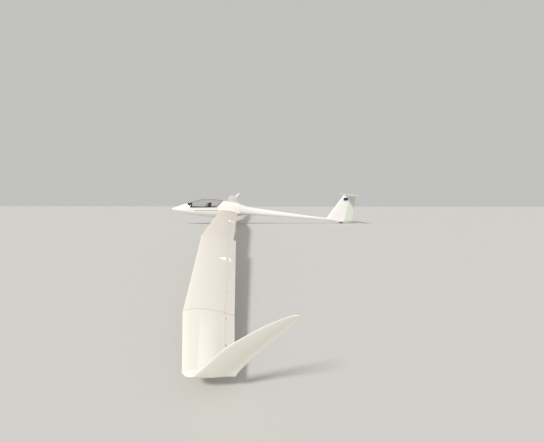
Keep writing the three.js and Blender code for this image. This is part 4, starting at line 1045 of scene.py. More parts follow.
class GLIDER_OT_engine_bay(bpy.types.Operator):
    """The two long doors over the engine and the engine itself"""

    bl_idname = "glider.engine_bay"
    bl_label = "Engine bay"

    def execute(self, context):
        skin = hull_skin(BAY_SKIN, shape().door_depth, 30, 32)
        near, far = PLAY / 2, BAY["half"] - PLAY
        for side, name in SIDES:
            door = side_prism(bay_outline(PLAY), *sorted((side * near, side * far)))
            door = combine(door, skin, "INTERSECT", keep_tool=True)
            lugs = [lug for _, lug in bay_knuckles(side)]
            door = merge(door, painted(merge(*lugs), 1))
            node = f"engine_door_{name}"
            finish_piece(f"bay_door_{name}", door, ("hull", "alloy"), (node,), node)
        skin.free()
        self.engine()
        return {"FINISHED"}

    def engine(self):
        """A crankcase with three finned barrels, two pipes and their stubs."""
        foot, e = BAY["floor"] + FIT, ENGINE
        case = block(*e["x"], -e["half"], e["half"], foot, foot + e["high"])
        parts = [bevel_all(case, e["round"], 3)]
        for x in BARRELS:
            radius, low, high = BARREL
            parts.append(rod((x, 0, foot + low), (x, 0, foot + high), radius, sides=32))
            for k in range(FIN_RING["count"]):
                z = foot + FIN_RING["first"] + FIN_RING["pitch"] * k
                half, wide, thick = FIN_RING["half"], FIN_RING["wide"], FIN_RING["thick"]
                plate = block(x - half, x + half, -wide, wide, z, z + thick)
                parts.append(bevel_all(plate, FIN_RING["round"]))
            wide, narrow, low, high = PLUG
            parts.append(rod((x, 0, foot + low), (x, 0, foot + high), wide, narrow, 24))
        (start, end), out, up, radius = PIPE
        stub, near, far, top, low = STUB
        for side, _ in SIDES:
            parts.append(rod((start, side * out, foot + up), (end, side * out, foot + up), radius, sides=28))
            for x in BARRELS:
                parts.append(rod((x, side * near, foot + top), (x, side * far, foot + low), stub, sides=20))
        finish_piece("engine_unit", merge(*parts), ("engine",), ("engine",))


# Wings


def stations(side):
    """Where each span station lies and which way is up there."""
    bends = [math.radians(row[3] if side < 0 else row[4]) for row in WING]
    y, z = WING[0][0], WING_ROOT_Z
    places = []
    for i, (s, chord, te, _, _) in enumerate(WING):
        if i:
            run = s - WING[i - 1][0]
            y += run * math.cos(bends[i - 1])
            z += run * math.sin(bends[i - 1])
        tilt = 0 if i == 0 else (bends[i - 1] + bends[i]) / 2
        places.append(
            {
                "s": s,
                "chord": chord,
                "te": te,
                "bend": bends[i],
                "base": Vector((0, side * y, z)),
                "up": Vector((0, -side * math.sin(tilt), math.cos(tilt))),
            }
        )
    return places


def wing_ring(place, chord=None, te=None):
    chord = chord or place["chord"]
    te = te or place["te"]
    base = place["base"].copy()
    base.x = te - chord * MID_CHORD
    return section_ring(base, chord, place["up"], INCIDENCE)


def between(start, end, t):
    return [a.lerp(b, t) for a, b in zip(start, end)]


def surface_point(ring, u, upper=True):
    """A point of a section ring at a share of its chord."""
    points = (len(ring) - 1) // 2
    t = math.acos(1 - 2 * u) / math.pi * points
    k = min(int(t), points - 1)
    if upper:
        return ring[points - k].lerp(ring[points - k - 1], t - k)
    return ring[points + k].lerp(ring[points + k + 1], t - k)


def hinge_of(ring, at=HINGE_AT):
    upper, lower = surface_point(ring, at), surface_point(ring, at, False)
    return (upper + lower) / 2, (upper - lower).length / 2


class Hinge:
    """A hinge line with the section's half thickness at both ends."""

    def __init__(self, a, b):
        (self.a, self.ra), (self.b, self.rb) = a, b
        self.axis = (self.b - self.a).normalized()
        back = Vector((1, 0, 0))
        self.aft = (back - self.axis * back.dot(self.axis)).normalized()
        self.up = self.axis.cross(self.aft)

    def at(self, t):
        return self.a.lerp(self.b, t), lerp(self.ra, self.rb, t)

    def local(self, t, x, z, y=0.0):
        point, _ = self.at(t)
        return point + self.aft * x + self.up * z + self.axis * y

    def room(self, grow):
        """The nose's round room and everything behind it."""
        high, aft, steps = (HINGE_ROOM[key] for key in ("high", "aft", "steps"))
        reach = CUT_PAST * MM / (self.b - self.a).length
        rings = []
        for t in (-reach, 1 + reach):
            _, radius = self.at(t)
            radius = radius * NOSE + grow * MM
            angles = [math.pi * (k / steps - 0.5) for k in range(steps + 1)]
            arc = [(-radius * math.cos(a), radius * math.sin(a)) for a in angles]
            outline = [(0, -high), *arc, (0, high), (aft, high), (aft, -high)]
            rings.append([self.local(t, x, z) for x, z in outline])
        return loft(rings)

    def slab(self, t, x0, x1, half, width):
        outline = ((x0, -half), (x1, -half), (x1, half), (x0, half))
        return prism([self.local(t, x, z, -width / 2) for x, z in outline], self.axis * width)

    def pin(self, t, radius, half):
        point, _ = self.at(t)
        return rod((point - self.axis * half) / MM, (point + self.axis * half) / MM, radius / MM, sides=20)

    def lug(self, t, eye, bore, reach, thick):
        """A bored lug plate that stands back to the hinge line."""
        bm = bmesh.new()
        count = 24
        outer, inner = [], []
        for k in range(count):
            angle = 2 * math.pi * k / count
            x, z = math.cos(angle), math.sin(angle)
            outer.append(self.local(t, x * eye if x > -0.01 else -reach, z * eye, -thick / 2))
            inner.append(self.local(t, x * bore, z * bore, -thick / 2))
        for ring in (outer, inner):
            profile(bm, ring)
        bmesh.ops.bridge_loops(bm, edges=bm.edges[:])
        made = bmesh.ops.extrude_face_region(bm, geom=bm.faces[:])
        bmesh.ops.translate(bm, vec=self.axis * thick, verts=new_verts(made))
        bmesh.ops.recalc_face_normals(bm, faces=bm.faces)
        return bm


def gap_seals(rings):
    """Thin tapes on the fixed piece that lie over the hinge gap, above and below."""
    seals = []
    for upper in (True, False):
        rows = []
        for ring in rings:
            _, radius = hinge_of(ring)
            chord = (ring[0] - ring[len(ring) // 2]).length
            ahead = HINGE_AT - (radius + (PLAY + SEAL["lap"]) * MM) / chord
            ends = [surface_point(ring, u, upper) for u in (ahead, HINGE_AT - SEAL["short"] * MM / chord)]
            way = (ends[1] - ends[0]).normalized()
            out = Vector((-way.z, 0, way.x)) * (SEAL["thick"] * MM if upper else -SEAL["thick"] * MM)
            rows.append([*ends, ends[1] + out, ends[0] + out])
        seals.append(loft(rows))
    return seals


def split(full, full_mover, hinge, lugs, zone=None, seals=()):
    """The fixed piece and the moving piece on both sides of a hinge, with their lugs and pins."""
    mover = combine(full_mover, hinge.room(0), "INTERSECT")
    room = hinge.room(PLAY)
    if zone:
        room = combine(room, zone, "INTERSECT")
    fixed = combine(full, room)
    plates, pins = [], []
    play, thick = PLAY * MM, LUG["thick"]
    width = thick + 2 * play
    for t in lugs:
        _, radius = hinge.at(t)
        pin = max(LUG["least"], radius * LUG["pin"])
        eye = pin * LUG["eye"] + LUG["rim"]
        mover = combine(mover, hinge.slab(t, -radius - play, eye + play, radius + play, width))
        pins.append(hinge.pin(t, pin, width / 2 + LUG["pin_past"]))
        plates.append(hinge.lug(t, eye, pin + FIT * MM, radius + play + LUG["foot"], thick))
    fixed = merge(fixed, painted(merge(*plates), 1), *seals)
    return fixed, merge(mover, painted(merge(*pins), 1))


def tip_rings(side, tip):
    """Rings round the bend at the wing tip and up the winglet."""
    bend = tip["bend"]
    out = Vector((0, side * math.cos(bend), math.sin(bend)))
    rise = tip["up"]
    lead, trail = curve(TIP_BEND, 1), curve(TIP_BEND, 2)
    last_turn = TIP_BEND[-1][0]
    rings = []

    def tip_ring(base, front, rear, up, incidence, thick):
        chord = rear - front
        middle = Vector((tip["te"] + front + chord * MID_CHORD, base.y, base.z))
        return section_ring(middle, chord, up, incidence, thick)

    for k in range(1, TIP_BEND_RINGS + 1):
        turn = last_turn * k / TIP_BEND_RINGS
        angle = math.radians(turn)
        foot = tip["base"] + out * (TIP_BEND_RADIUS * math.sin(angle))
        foot = foot + rise * (TIP_BEND_RADIUS * (1 - math.cos(angle)))
        up = rise * math.cos(angle) - out * math.sin(angle)
        flat = 1 - turn / last_turn
        thick = TIP_FLAT_THICK + (1 - TIP_FLAT_THICK) * flat
        rings.append(tip_ring(foot, lead(turn), trail(turn), up, INCIDENCE * flat, thick))
    lean = math.radians(last_turn)
    along = out * math.cos(lean) + rise * math.sin(lean)
    up = rise * math.cos(lean) - out * math.sin(lean)
    lead, trail, thick = (curve(WINGLET, column) for column in (1, 2, 3))
    low, high = WINGLET[0][0], WINGLET[-1][0]
    for k in range(WINGLET_RINGS + 1):
        height = lerp(low, high, 1 - (1 - k / WINGLET_RINGS) ** WINGLET_CROWD)
        base = foot + along * (height - WINGLET_FOOT)
        share = thick(height) / SECTION_THICK
        rings.append(tip_ring(base, lead(height), trail(height), up, 0, share))
    return rings


def seated_height(wheel, y):
    return wheel["radius"] - wheel["tread"] + wheel["tread"] / math.cos(BANK) - y * math.tan(BANK)


def tip_wheel_centre(side):
    places, left = stations(side), stations(-1)
    t = (TIP_WHEEL["s"] - WING[-2][0]) / (WING[-1][0] - WING[-2][0])
    base = places[-2]["base"].lerp(places[-1]["base"], t)
    left_base = left[-2]["base"].lerp(left[-1]["base"], t)
    drop = left_base.z - seated_height(TIP_WHEEL, left_base.y)
    return Vector((WING[-1][2] - WING[-1][1] + TIP_WHEEL["aft"], base.y, base.z - drop))


def teardrop(top, turn):
    """A teardrop fairing spun from its profile, laid along the wind at the hinge."""
    f = FAIRING
    points = [(r, a * f["ahead"]) for r, a in TEARDROP_FRONT]
    points += [(r, a * (f["length"] - f["ahead"])) for r, a in TEARDROP_AFT]
    bm = turned([(a * MM, 0, r) for r, a in points], (1, 0, 0), 28)
    bmesh.ops.scale(bm, vec=(1, f["width"] * MM, f["height"] * MM), verts=bm.verts)
    bmesh.ops.bisect_plane(
        bm,
        geom=bm.verts[:] + bm.edges[:] + bm.faces[:],
        dist=1e-7,
        plane_co=(0, 0, -f["floor"] * MM),
        plane_no=(0, 0, -1),
        clear_outer=True,
    )
    bmesh.ops.contextual_create(bm, geom=[edge for edge in bm.edges if edge.is_boundary])
    bmesh.ops.recalc_face_normals(bm, faces=bm.faces)
    bm.transform(Matrix.Translation(top) @ turn)
    return bm


class GLIDER_OT_wings(bpy.types.Operator):
    """Wing panels, flaps, ailerons, winglets and their small fairings"""

    bl_idname = "glider.wings"
    bl_label = "Wings"

    def execute(self, context):
        for side, name in SIDES:
            self.build(side, name)
        return {"FINISHED"}

    def build(self, side, name):
        places = stations(side)
        for i, (place, nxt) in enumerate(zip(places, places[1:])):
            start = wing_ring(place, *STEP) if i == 2 else wing_ring(place)
            end = wing_ring(nxt)
            run = nxt["s"] - place["s"]
            is_tip = i == 3
            flap_end = TIP_AILERON_END if is_tip else 1
            trim = FIT / 2 / run
            room_in = (FLAP_GAP["root"] if i == 0 else FLAP_GAP["end"]) / run
            room_out = (FLAP_GAP["tip"] if is_tip else FLAP_GAP["end"]) / run
            a, b = hinge_of(start), hinge_of(between(start, end, flap_end))
            hinge = Hinge(b, a) if side < 0 else Hinge(a, b)
            rings = [between(start, end, trim)]
            rings += [end, *tip_rings(side, nxt)] if is_tip else [between(start, end, 1 - trim)]
            zone = None
            if is_tip:
                edge = b[0].y / MM
                zone = block(-FAR, PAST_TAIL, *sorted((0, edge)), -FAR, FAR)
            mover_rings = [between(start, end, t) for t in (room_in, flap_end - room_out)]
            lugs = [1 - t if side < 0 else t for t in LUGS_AT[i]]
            marks = [room_in]
            fairings = [(s - place["s"]) / run for panel, s in FAIRINGS if panel == i]
            for at in fairings:
                clear = (FAIRING["width"] + SEAL["lap"]) / run
                marks += [at - clear, at + clear]
            marks.append(flap_end - room_out)
            seals = []
            for ends in zip(marks[::2], marks[1::2]):
                seals += gap_seals([between(start, end, t) for t in ends])
            fixed, mover = split(loft(rings), loft(mover_rings), hinge, lugs, zone, seals)
            slope = Matrix.Rotation(side * place["bend"], 4, "X")
            slope = slope @ Matrix.Rotation(INCIDENCE + FAIRING["slope"], 4, "Y")
            for at in fairings:
                point, radius = hinge_of(between(start, end, at))
                top = point + nxt["up"] * radius * FAIRING["sink"]
                x = top.x / MM
                ahead, behind = (
                    combine(teardrop(top, slope), block(*ends, -PAST_TIPS, PAST_TIPS, -FAR, FAR), "INTERSECT")
                    for ends in ((x - FAR, x - FAIRING["gap"]), (x + 1, x + FAR))
                )
                fixed, mover = merge(fixed, painted(ahead, 2)), merge(mover, painted(behind, 2))
            if is_tip:
                fixed = merge(fixed, self.fork(side, start, end, place, nxt))
            looks, panel = ("wing", "alloy", "hull"), f"{PANELS[i]}_{name}"
            finish_piece(f"wing_skin_{panel}", fixed, looks, (f"wing_{panel}",), smooth="wide")
            node = f"{FLAPS[i]}_{name}"
            finish_piece(f"{FLAPS[i]}_skin_{name}", mover, looks, (node,), node, smooth="wide")

    def fork(self, side, start, end, place, nxt):
        t = (TIP_WHEEL["s"] - place["s"]) / (nxt["s"] - place["s"])
        centre = tip_wheel_centre(side)
        wing = surface_point(between(start, end, t), FORK_AT, False).z / MM
        half = TIP_WHEEL["tread"] + PLAY + 1
        foot, head, low, high = FORK["foot"], FORK["head"], centre.z - FORK["foot"], wing + FORK["bite"]
        cheek = [(centre.x + x, z) for x, z in ((-foot, low), (foot, low), (head, high), (-head, high))]
        parts = []
        for hand in (-1, 1):
            width = sorted((centre.y + hand * half, centre.y + hand * (half + FORK["cheek"])))
            parts.append(bevel_all(side_prism(cheek, *width), FORK["round"]))
        across = Vector((0, half + 1, 0))
        parts.append(rod(centre - across, centre + across, TIP_WHEEL["axle"]))
        return painted(merge(*parts), 2)


# Tail


def symmetric(u):
    return 5 * (0.2969 * math.sqrt(u) - 0.126 * u - 0.3516 * u**2 + 0.2843 * u**3 - 0.1026 * u**4)


def symmetric_ring(leading, trailing, thick, place):
    steps = chord_steps()
    rows = [(u, 1) for u in reversed(steps)] + [(u, -1) for u in steps[1:]]
    return [place(lerp(leading, trailing, u), hand * symmetric(u) * thick) for u, hand in rows]


def fin_ring(row):
    z, leading, trailing, thick = row
    return symmetric_ring(leading, trailing, thick, lambda x, half: Vector((x, half, z)) * MM)


def fin_plane(z):
    return (z, *(curve(FIN, column)(z) for column in (1, 2, 3)))


def fin_hinge_end(point):
    x, z = point
    _, le, te, thick = fin_plane(z)
    return Vector((x, 0, z)) * MM, symmetric((x - le) / (te - le)) * thick * MM


def tail_rings(rows, offset=0.0):
    """Tailplane rings, rounded off towards each tip."""
    lead, trail = curve(TAILPLANE, 1), curve(TAILPLANE, 2)
    rounding, tip = TAILPLANE[2][0], TAILPLANE[-1][0]
    rings = []
    for y in rows:
        le, te = lead(abs(y)), trail(abs(y))
        inward = max(0.0, (abs(y) - rounding) / (tip - rounding))
        thick = (te - le) * TAIL_THICK * (1 - TAIL_TIP_THIN * inward**2)
        z = TAILPLANE_Z + offset
        rings.append(symmetric_ring(le, te, thick, lambda x, half, y=y: Vector((x, y, z + half)) * MM))
    return rings


class GLIDER_OT_tail(bpy.types.Operator):
    """Fin, rudder, tailplane and elevator"""

    bl_idname = "glider.tail"
    bl_label = "Tail"

    def execute(self, context):
        full = loft([fin_ring(fin_plane(z)) for z in FIN_HEIGHTS])
        full = combine(full, side_prism(FIN_FOOT, -ACROSS, ACROSS), "INTERSECT")
        marks = [lerp(*FIN_HULL, i / 20) for i in range(21)]
        full = combine(full, loft([hull_ring(x, -FIT, BOOM["sides"]) for x in marks]))
        mover = loft([fin_ring(fin_plane(lerp(*RUDDER_SPAN, k / 10))) for k in range(11)])
        hinge = Hinge(*(fin_hinge_end(point) for point in RUDDER_HINGE))
        fin, rudder = split(full, mover, hinge, RUDDER_LUGS)
        span = [-y for y in TAIL_SPAN[:0:-1]] + [*TAIL_SPAN]
        fin = combine(fin, loft(tail_rings(span, -FIT)))
        finish_piece("fin_skin", fin, ("fin", "alloy"), ("fin",), smooth="wide")
        finish_piece("rudder_skin", rudder, ("rudder", "alloy"), ("rudder",), "rudder", smooth="wide")
        self.tailplane(span)
        return {"FINISHED"}

    def tailplane(self, span):
        x = ELEVATOR["hinge"]

        def end(y, row):
            _, le, te = row
            half = symmetric((x - le) / (te - le)) * (te - le) * TAIL_THICK
            return Vector((x, y, TAILPLANE_Z)) * MM, half * MM

        tip = TAILPLANE[2]
        middle = end(0, TAILPLANE[0])
        fixed, movers = [], []
        for side in (-1, 1):
            rows = [y for y in span if y * side >= 0]
            a, b = (end(-tip[0], tip), middle) if side < 0 else (middle, end(tip[0], tip))
            lugs = [1 - t if side < 0 else t for t in ELEVATOR["lugs"]]
            rings = tail_rings(rows)
            one, other = split(loft(rings), loft(rings), Hinge(a, b), lugs)
            fixed.append(one)
            movers.append(other)
        start, room = ELEVATOR["start"], ELEVATOR["room"]
        cut = block(x + room, x + FAR, -start, start, 0, FAR)
        elevator = merge(*(combine(mover, cut.copy()) for mover in movers))
        cut.free()
        looks = ("tailplane", "alloy")
        finish_piece("tailplane_skin", merge(*fixed), looks, ("tailplane",), smooth="wide")
        finish_piece("elevator_skin", elevator, looks, ("elevator",), "elevator", smooth="wide")


# Undercarriage


def spun(points, steps):
    """A turned shape about the airframe's cross axis, from points of radius and width."""
    return turned([(r * MM, y * MM, 0) for r, y in points], (0, 1, 0), steps, closed=True)


def tyre(wheel, grooves, steps=96):
    """A round tyre with grooves run round its tread."""
    radius, tread = wheel["radius"], wheel["tread"]
    bore = wheel.get("rim", wheel["axle"]) + FIT
    ring = radius - tread
    low = math.asin(max(bore - ring, 0) / tread)
    points = []
    count = 40
    for k in range(count + 1):
        angle = low + (math.pi - 2 * low) * k / count
        grooved = any(abs(math.degrees(angle) - groove) < GROOVE["half"] for groove in grooves)
        reach = tread - (GROOVE["depth"] * tread if grooved else 0.0)
        points.append((ring + reach * math.sin(angle), -reach * math.cos(angle)))
    if bore < ring:
        points += [(bore, tread), (bore, -tread)]
    return spun(points, steps)


def rim(wheel):
    edge, bore, width, hub = wheel["rim"], wheel["axle"] + FIT, wheel["width"], wheel["hub"]
    half = [(bore + past, hub * share) for past, share in HUB_STEPS]
    half += [(bore + past, width * share) for past, share in NECK_STEPS]
    half += [(edge * out, width * share) for out, share in DISC_STEPS]
    return spun(half + [(r, -y) for r, y in reversed(half)], 72)


def rim_bolts(wheel):
    """A ring of six-sided bolts on both faces of the rim."""
    edge, foot = wheel["rim"], wheel["width"] * RIM_BOLT["foot"]
    size, radius, count = edge * RIM_BOLT["size"], edge * RIM_BOLT["at"], RIM_BOLT["count"]
    bolts = []
    for k in range(count):
        angle = 2 * math.pi * k / count
        x, z = radius * math.cos(angle), radius * math.sin(angle)
        for hand in (-1, 1):
            y = hand * foot
            bolts.append(rod((x, y - hand, z), (x, y + hand * size, z), size, size * RIM_BOLT["taper"], 6))
    return merge(*bolts)


class GLIDER_OT_wheels(bpy.types.Operator):
    """Main, tail and tip wheels"""

    bl_idname = "glider.wheels"
    bl_label = "Wheels"

    def execute(self, context):
        for key, wheel in (("main", MAIN_WHEEL), ("tail", TAIL_WHEEL)):
            place = AIR @ Matrix.Translation(Vector((wheel["x"], 0, seated_height(wheel, 0))) * MM)
            self.piece(f"{key}_tyre_rubber", tyre(wheel, GROOVES[key]), ("rubber",), f"{key}_tyre", place)
            whole = merge(rim(wheel), painted(rim_bolts(wheel), 1))
            self.piece(f"{key}_rim_alloy", whole, ("alloy", "steel"), f"{key}_rim", place)
        for side, name in SIDES:
            place = AIR @ Matrix.Translation(tip_wheel_centre(side) * MM)
            bm = tyre(TIP_WHEEL, GROOVES["tip"], 48)
            self.piece(f"tip_wheel_rubber_{name}", bm, ("rubber",), f"tip_wheel_{name}", place)
        return {"FINISHED"}

    def piece(self, name, bm, looks, node, place):
        """A tyre or rim that turns with its wheel."""
        key, slot = node.split("_")[:2]
        body, slot = (node, "tip_wheel") if key == "tip" else (f"{key}_wheel", slot)
        finish_piece(name, bm, looks, (node,), body, "fine", place)



class GLIDER_OT_gear(bpy.types.Operator):
    """Main gear leg and its open doors"""

    bl_idname = "glider.gear"
    bl_label = "Main gear"

    def execute(self, context):
        dress("main_gear_leg", "gear")
        door, wall = GEAR_DOOR, WELL[1] - FIT
        thick, grip, drop, splay = (door[key] for key in ("thick", "grip", "drop", "splay"))
        x0, x1 = door["x"]

        def underside(x, y):
            share = 1 - (y / hull_half(x)) ** HULL_ROUND
            return hull_middle(x) - (hull_middle(x) - hull_bottom(x)) * share ** (1 / HULL_ROUND)

        edge = min(underside(x, WELL[1]) for x in WELL[0]) - FIT
        top, low, cut = edge + grip, edge - drop, door["corner"]
        plan = [(x0, top), (x1, top), (x1, low + cut), (x1 - cut, low), (x0 + cut, low), (x0, low + cut)]
        bend = [(wall + splay * t**1.5, edge - drop * t) for t in (k / 10 for k in range(11))]
        for side, name in SIDES:
            outer = [(wall, top), *bend]
            inner = [(y - thick, z) for y, z in reversed(outer)]
            plate = cross_prism([(side * y, z) for y, z in outer + inner], x0, x1)
            plate = combine(plate, side_prism(plan, -ACROSS, ACROSS), "INTERSECT")
            bevel_all(plate, door["round"], 2, 50)
            finish_piece(f"gear_door_skin_{name}", plate, ("hull",), (f"gear_door_{name}",), smooth="wide")
        return {"FINISHED"}


def dress(node, look):
    """Give a frame node that shows as it is its finish."""
    thing = frame["nodes"][node]
    thing.data.materials.clear()
    thing.data.materials.append(finish(look))


# Cockpit


def sheet_rows(line, by):
    """A side-view line moved by a distance towards its upper side."""
    moved = []
    for i, (x, z) in enumerate(line):
        x0, z0 = line[max(i - 1, 0)]
        x1, z1 = line[min(i + 1, len(line) - 1)]
        length = math.hypot(x1 - x0, z1 - z0)
        moved.append((x - (z1 - z0) / length * by, z + (x1 - x0) / length * by))
    return moved


def pad_piece(name, bm, node, cap, voxel):
    """A stuffed pad: remeshed, blown up a little as cloth, and smoothed."""
    bmesh.ops.recalc_face_normals(bm, faces=bm.faces)
    pad = new_piece(name, bm, (), AIR)
    remesh = pad.modifiers.new("remesh", "REMESH")
    remesh.mode = "VOXEL"
    remesh.voxel_size = voxel
    bake(pad)
    rest = [vert.co.copy() for vert in pad.data.vertices]
    cloth = pad.modifiers.new("cloth", "CLOTH")
    cloth.settings.use_pressure = True
    cloth.settings.uniform_pressure_force = 4
    cloth.settings.effector_weights.gravity = 0
    scene = bpy.context.scene
    for number in range(1, 21):
        scene.frame_set(number)
    bake(pad)
    scene.frame_set(1)
    for vert, start in zip(pad.data.vertices, rest):
        way = vert.co - start
        if way.length > cap:
            vert.co = start + way.normalized() * cap
    for face in pad.data.polygons:
        face.use_smooth = True
    pad.data.materials.append(finish("cloth"))
    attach(pad, "airframe")
    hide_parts(node)


def bake(thing):
    """Apply a piece's modifiers to its mesh."""
    ready = thing.evaluated_get(bpy.context.evaluated_depsgraph_get())
    mesh = bpy.data.meshes.new_from_object(ready)
    old = thing.data
    thing.modifiers.clear()
    thing.data = mesh
    bpy.data.meshes.remove(old)


def clip_hull(bm, inset):
    """Trim a piece to the inside of the hull."""
    return combine(bm, hull_solid(*COCKPIT, inset, 40), "INTERSECT")


class GLIDER_OT_seats(bpy.types.Operator):
    """Seats, cushions, headrests and harness"""

    bl_idname = "glider.seats"
    bl_label = "Seats"

    def execute(self, context):
        for key, line in SEAT_LINES.items():
            dress(f"seat_{key}", "inside")
            self.cushion(key, line)
            self.headrest(key, line)
            self.harness(key, line)
        return {"FINISHED"}

    def cushion(self, key, line):
        size, low = CUSHION, SEAT_THICK + FIT + CUSHION["clear"]
        under, over = sheet_rows(line, low)[1:], sheet_rows(line, low + size["thick"] - size["round"])[1:]
        half = size["half"] - size["puff"]
        pad = clip_hull(side_prism(under + over[::-1], -half, half), WALL + FIT + 4)
        bevel_all(pad, size["round"], 3, 50)
        pad_piece(f"seat_pad_{key}", pad, f"cushion_{key}", size["puff"] * MM, 0.007)

    def headrest(self, key, line):
        (x0, z0), (x1, z1) = line[-2:]
        length = math.hypot(x1 - x0, z1 - z0)
        dx, dz = (x1 - x0) / length, (z1 - z0) / length
        height = HEAD["height"]
        ends = [(x1 + dx * up, z1 + dz * up) for up in (height * HEAD["start"], height)]
        low = SEAT_THICK + FIT + HEAD["clear"]
        rows = sheet_rows(ends, low) + sheet_rows(ends, low + HEAD["thick"] - HEAD["round"])[::-1]
        half = HEAD["half"] - HEAD["puff"]
        pad = side_prism(rows, -half, half)
        bevel_all(pad, HEAD["round"], 3, 50)
        pad_piece(f"head_pad_{key}", pad, f"headrest_{key}", HEAD["puff"] * MM, 0.005)

    def harness(self, key, line):
        """Flat belts over the cushion, and their buckle."""
        over = sheet_rows(line, SEAT_THICK + FIT + CUSHION["thick"] + BELT["over"])[3:]
        middle = Vector((over[0][0], 0, over[0][1]))
        parts = []
        for hand in (-1, 1):
            out = [hand * (BELT["start"] + BELT["spread"] * i) for i in range(len(over))]
            points = [Vector((x, y, z)) for y, (x, z) in zip(out, over)]
            parts.append(self.belt(points, (0, BELT["shoulder"], 0)))
        for hand in (-1, 1):
            points = [middle + Vector((x, hand * y, z)) for x, y, z in LAP_BELT]
            parts.append(self.belt(points, BELT["lap"]))
        low, high, wide, narrow = BUCKLE
        buckle = rod(middle + Vector(low), middle + Vector(high), wide, narrow, 32)
        whole = merge(*parts, painted(bevel_all(buckle, 2), 1))
        finish_piece(f"harness_{key}", whole, ("webbing", "alloy"), smooth="soft")

    def belt(self, points, across):
        """A flat belt swept through points."""
        wide = Vector(across) / 2
        line = [a.lerp(b, k / 6) for a, b in zip(points, points[1:]) for k in range(6)] + [points[-1]]
        for _ in range(4):
            line[1:-1] = [(a + b * 2 + c) / 4 for a, b, c in zip(line, line[1:], line[2:])]
        rings = []
        for i, point in enumerate(line):
            way = line[min(i + 1, len(line) - 1)] - line[max(i - 1, 0)]
            up = way.cross(wide).normalized() * BELT["half_thick"]
            rings.append([(point + s * wide + t * up) * MM for s, t in ((-1, -1), (1, -1), (1, 1), (-1, 1))])
        return loft(rings)


class GLIDER_OT_controls(bpy.types.Operator):
    """Instrument panels and control sticks"""

    bl_idname = "glider.controls"
    bl_label = "Controls"

    def execute(self, context):
        for key, data in PANELS_IN.items():
            self.panel(key, data)
            self.stick(key, data["stick"])
        self.levers()
        return {"FINISHED"}

    def panel(self, key, data):
        board = bevel_all(side_prism(data["board"], -data["half"], data["half"]), 7, 3, 25)
        board = clip_hull(board, PANEL_CLEAR + PLAY + FIT)
        foot = bevel_all(side_prism(data["foot"], -data["foot_half"], data["foot_half"]), 6, 2, 25)
        foot = clip_hull(foot, WALL + FIT)
        (x0, z0), (x1, z1) = data["face"]
        down = Vector((x1 - x0, 0, z1 - z0)).normalized()
        normal = Vector((-down.z, 0, down.x))
        dials, marks = [], []
        for y, t, radius in DIALS:
            centre = Vector((lerp(x0, x1, t), y * data["half"] / PANEL_HALF, lerp(z0, z1, t)))
            radius *= DIAL["share"]

            def ray(degrees):
                angle = math.radians(degrees)
                return Vector((0, 1, 0)) * math.sin(angle) - down * math.cos(angle)

            back = centre - normal * DIAL["sink"]
            edge, rim_high = radius + DIAL["rim"], normal * DIAL["rim_high"]
            dials.append(painted(rod(back, centre + rim_high, edge, edge - 2, 32), 1))
            face = centre + normal * DIAL["face_high"]
            dials.append(painted(rod(back, face, radius - 1, radius - 1, 32), 2))
            inner, outer = radius - DIAL["tick_in"], radius - DIAL["tick_out"]
            level = centre + normal * DIAL["tick_high"]
            for k in range(9):
                way = ray(-130 + 260 * k / 8)
                marks.append(rod(level + way * inner, level + way * outer, 0.8, sides=6))
            level = centre + normal * DIAL["hand_high"]
            way = ray(-70 + 35 * (len(dials) % 5))
            marks.append(rod(level, level + way * inner, 1.1, 0.5, 6))
        whole = merge(board, foot, *dials, painted(merge(*marks), 3))
        looks = ("panel", "trim", "dial", "mark")
        finish_piece(f"panel_{key}", whole, looks, (f"instrument_panel_{key}",))

    def stick(self, key, x):
        low, high = STICK["foot"], STICK["top"]

        def at(z):
            return Vector((x + STICK["lean"] * (z - low) / (high - low), 0, z))

        shaft = rod(at(hull_bottom(x) + WALL + FIT + 1), at(STICK["shaft"]), STICK["radius"], sides=24)
        angles = [2 * math.pi * k / 28 for k in range(28)]
        rings = []
        for z, r in GRIP:
            deep = GRIP_DEEP * r
            rings.append([(at(z) + Vector((deep * math.cos(a), r * math.sin(a), 0))) * MM for a in angles])
        grip = loft(rings)
        whole = merge(shaft, painted(grip, 1))
        finish_piece(f"stick_grip_{key}", whole, ("steel", "panel"), (f"stick_{key}",))

    def levers(self):
        """Levers along the left wall of both cockpits."""
        looks = ("steel", "knob_yellow", "knob_blue", "knob_green")
        z, radius = LEVER["z"], LEVER["knob"] * MM
        parts = []
        for x, look, length in LEVERS:
            base = Vector((x, WALL - hull_side(x, z) - LEVER["sink"], z))
            end = base + Vector((length * 0.5, LEVER["out"], length * 0.25))
            parts.append(rod(base, end, LEVER["radius"], sides=14))
            ball, place = bmesh.new(), Matrix.Translation(end * MM)
            bmesh.ops.create_uvsphere(ball, u_segments=18, v_segments=12, radius=radius, matrix=place)
            parts.append(painted(ball, looks.index(look)))
        finish_piece("wall_levers", merge(*parts), looks, smooth="soft")


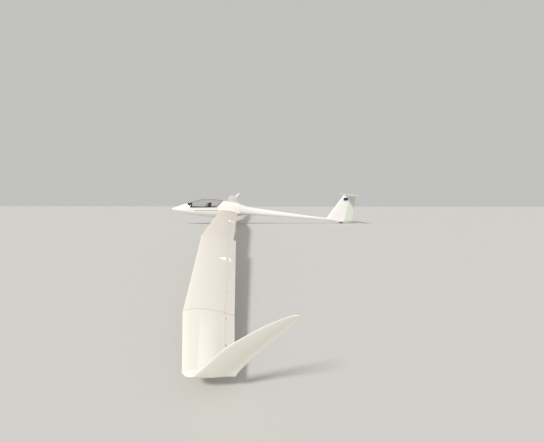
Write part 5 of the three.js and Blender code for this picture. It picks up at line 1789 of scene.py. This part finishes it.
class GLIDER_OT_stage(bpy.types.Operator):
    """Pale floor, soft light and the camera"""

    bl_idname = "glider.stage"
    bl_label = "Stage"

    def execute(self, context):
        scene = context.scene
        bm = bmesh.new()
        bmesh.ops.create_grid(bm, x_segments=2, y_segments=2, size=FLOOR["size"])
        mesh = bpy.data.meshes.new("floor")
        bm.to_mesh(mesh)
        bm.free()
        floor = bpy.data.objects.new("floor", mesh)
        scene.collection.objects.link(floor)
        board = Board("pale_floor", Roughness=0.9)
        board.colour(FLOOR["colour"])
        mesh.materials.append(board.material)
        world = bpy.data.worlds.new("studio")
        scene.world = world
        world.use_nodes = True
        sky = world.node_tree.nodes["Background"]
        sky.inputs["Color"].default_value = (*SKY["colour"], 1)
        sky.inputs["Strength"].default_value = SKY["strength"]
        key = bpy.data.lights.new("key", "SUN")
        key.energy, key.color = SUN["energy"], SUN["colour"]
        key.angle = math.radians(SUN["angle"])
        lamp = bpy.data.objects.new("key", key)
        scene.collection.objects.link(lamp)
        lamp.rotation_mode = "QUATERNION"
        lamp.rotation_quaternion = Vector(SUN["from"]).to_track_quat("Z", "Y")
        view = bpy.data.cameras.new("view")
        view.sensor_fit = "HORIZONTAL"
        view.sensor_width, view.lens = CAMERA["sensor"], CAMERA["lens"]
        view.shift_x, view.shift_y = CAMERA["shift"]
        view.clip_end = CAMERA["past"]
        camera = bpy.data.objects.new("view", view)
        scene.collection.objects.link(camera)
        forward = Vector(CAMERA["forward"]).normalized()
        right = Vector(CAMERA["right"])
        right = (right - forward * right.dot(forward)).normalized()
        turn = Matrix((right, right.cross(forward), -forward)).transposed().to_4x4()
        camera.matrix_world = Matrix.Translation(CAMERA["place"]) @ turn
        scene.camera = camera
        scene.view_settings.view_transform = "Standard"
        return {"FINISHED"}


STEPS = (
    GLIDER_OT_stage,
    GLIDER_OT_fuselage,
    GLIDER_OT_canopy,
    GLIDER_OT_engine_bay,
    GLIDER_OT_wings,
    GLIDER_OT_tail,
    GLIDER_OT_wheels,
    GLIDER_OT_gear,
    GLIDER_OT_seats,
    GLIDER_OT_controls,
)


class GLIDER_PT_sidebar(bpy.types.Panel):
    """Lists the steps that build the glider"""

    bl_idname = "GLIDER_PT_sidebar"
    bl_label = "Glider"
    bl_space_type = "VIEW_3D"
    bl_region_type = "UI"
    bl_category = "Glider"

    def draw(self, context):
        for step in STEPS:
            self.layout.operator(step.bl_idname)
        for group in (context.scene.glider_shape, context.scene.glider_paint):
            for key in group.bl_rna.properties.keys():
                if key not in ("rna_type", "name"):
                    self.layout.prop(group, key)


CLASSES = (GliderShape, GliderPaint, *STEPS, GLIDER_PT_sidebar)


def register():
    for kind in CLASSES:
        bpy.utils.register_class(kind)
    bpy.types.Scene.glider_shape = bpy.props.PointerProperty(type=GliderShape)
    bpy.types.Scene.glider_paint = bpy.props.PointerProperty(type=GliderPaint)


def unregister():
    del bpy.types.Scene.glider_paint
    del bpy.types.Scene.glider_shape
    for kind in reversed(CLASSES):
        bpy.utils.unregister_class(kind)


def main():
    register()
    for step in STEPS:
        group, name = step.bl_idname.split(".")
        getattr(getattr(bpy.ops, group), name)()


if __name__ == "__main__":
    main()
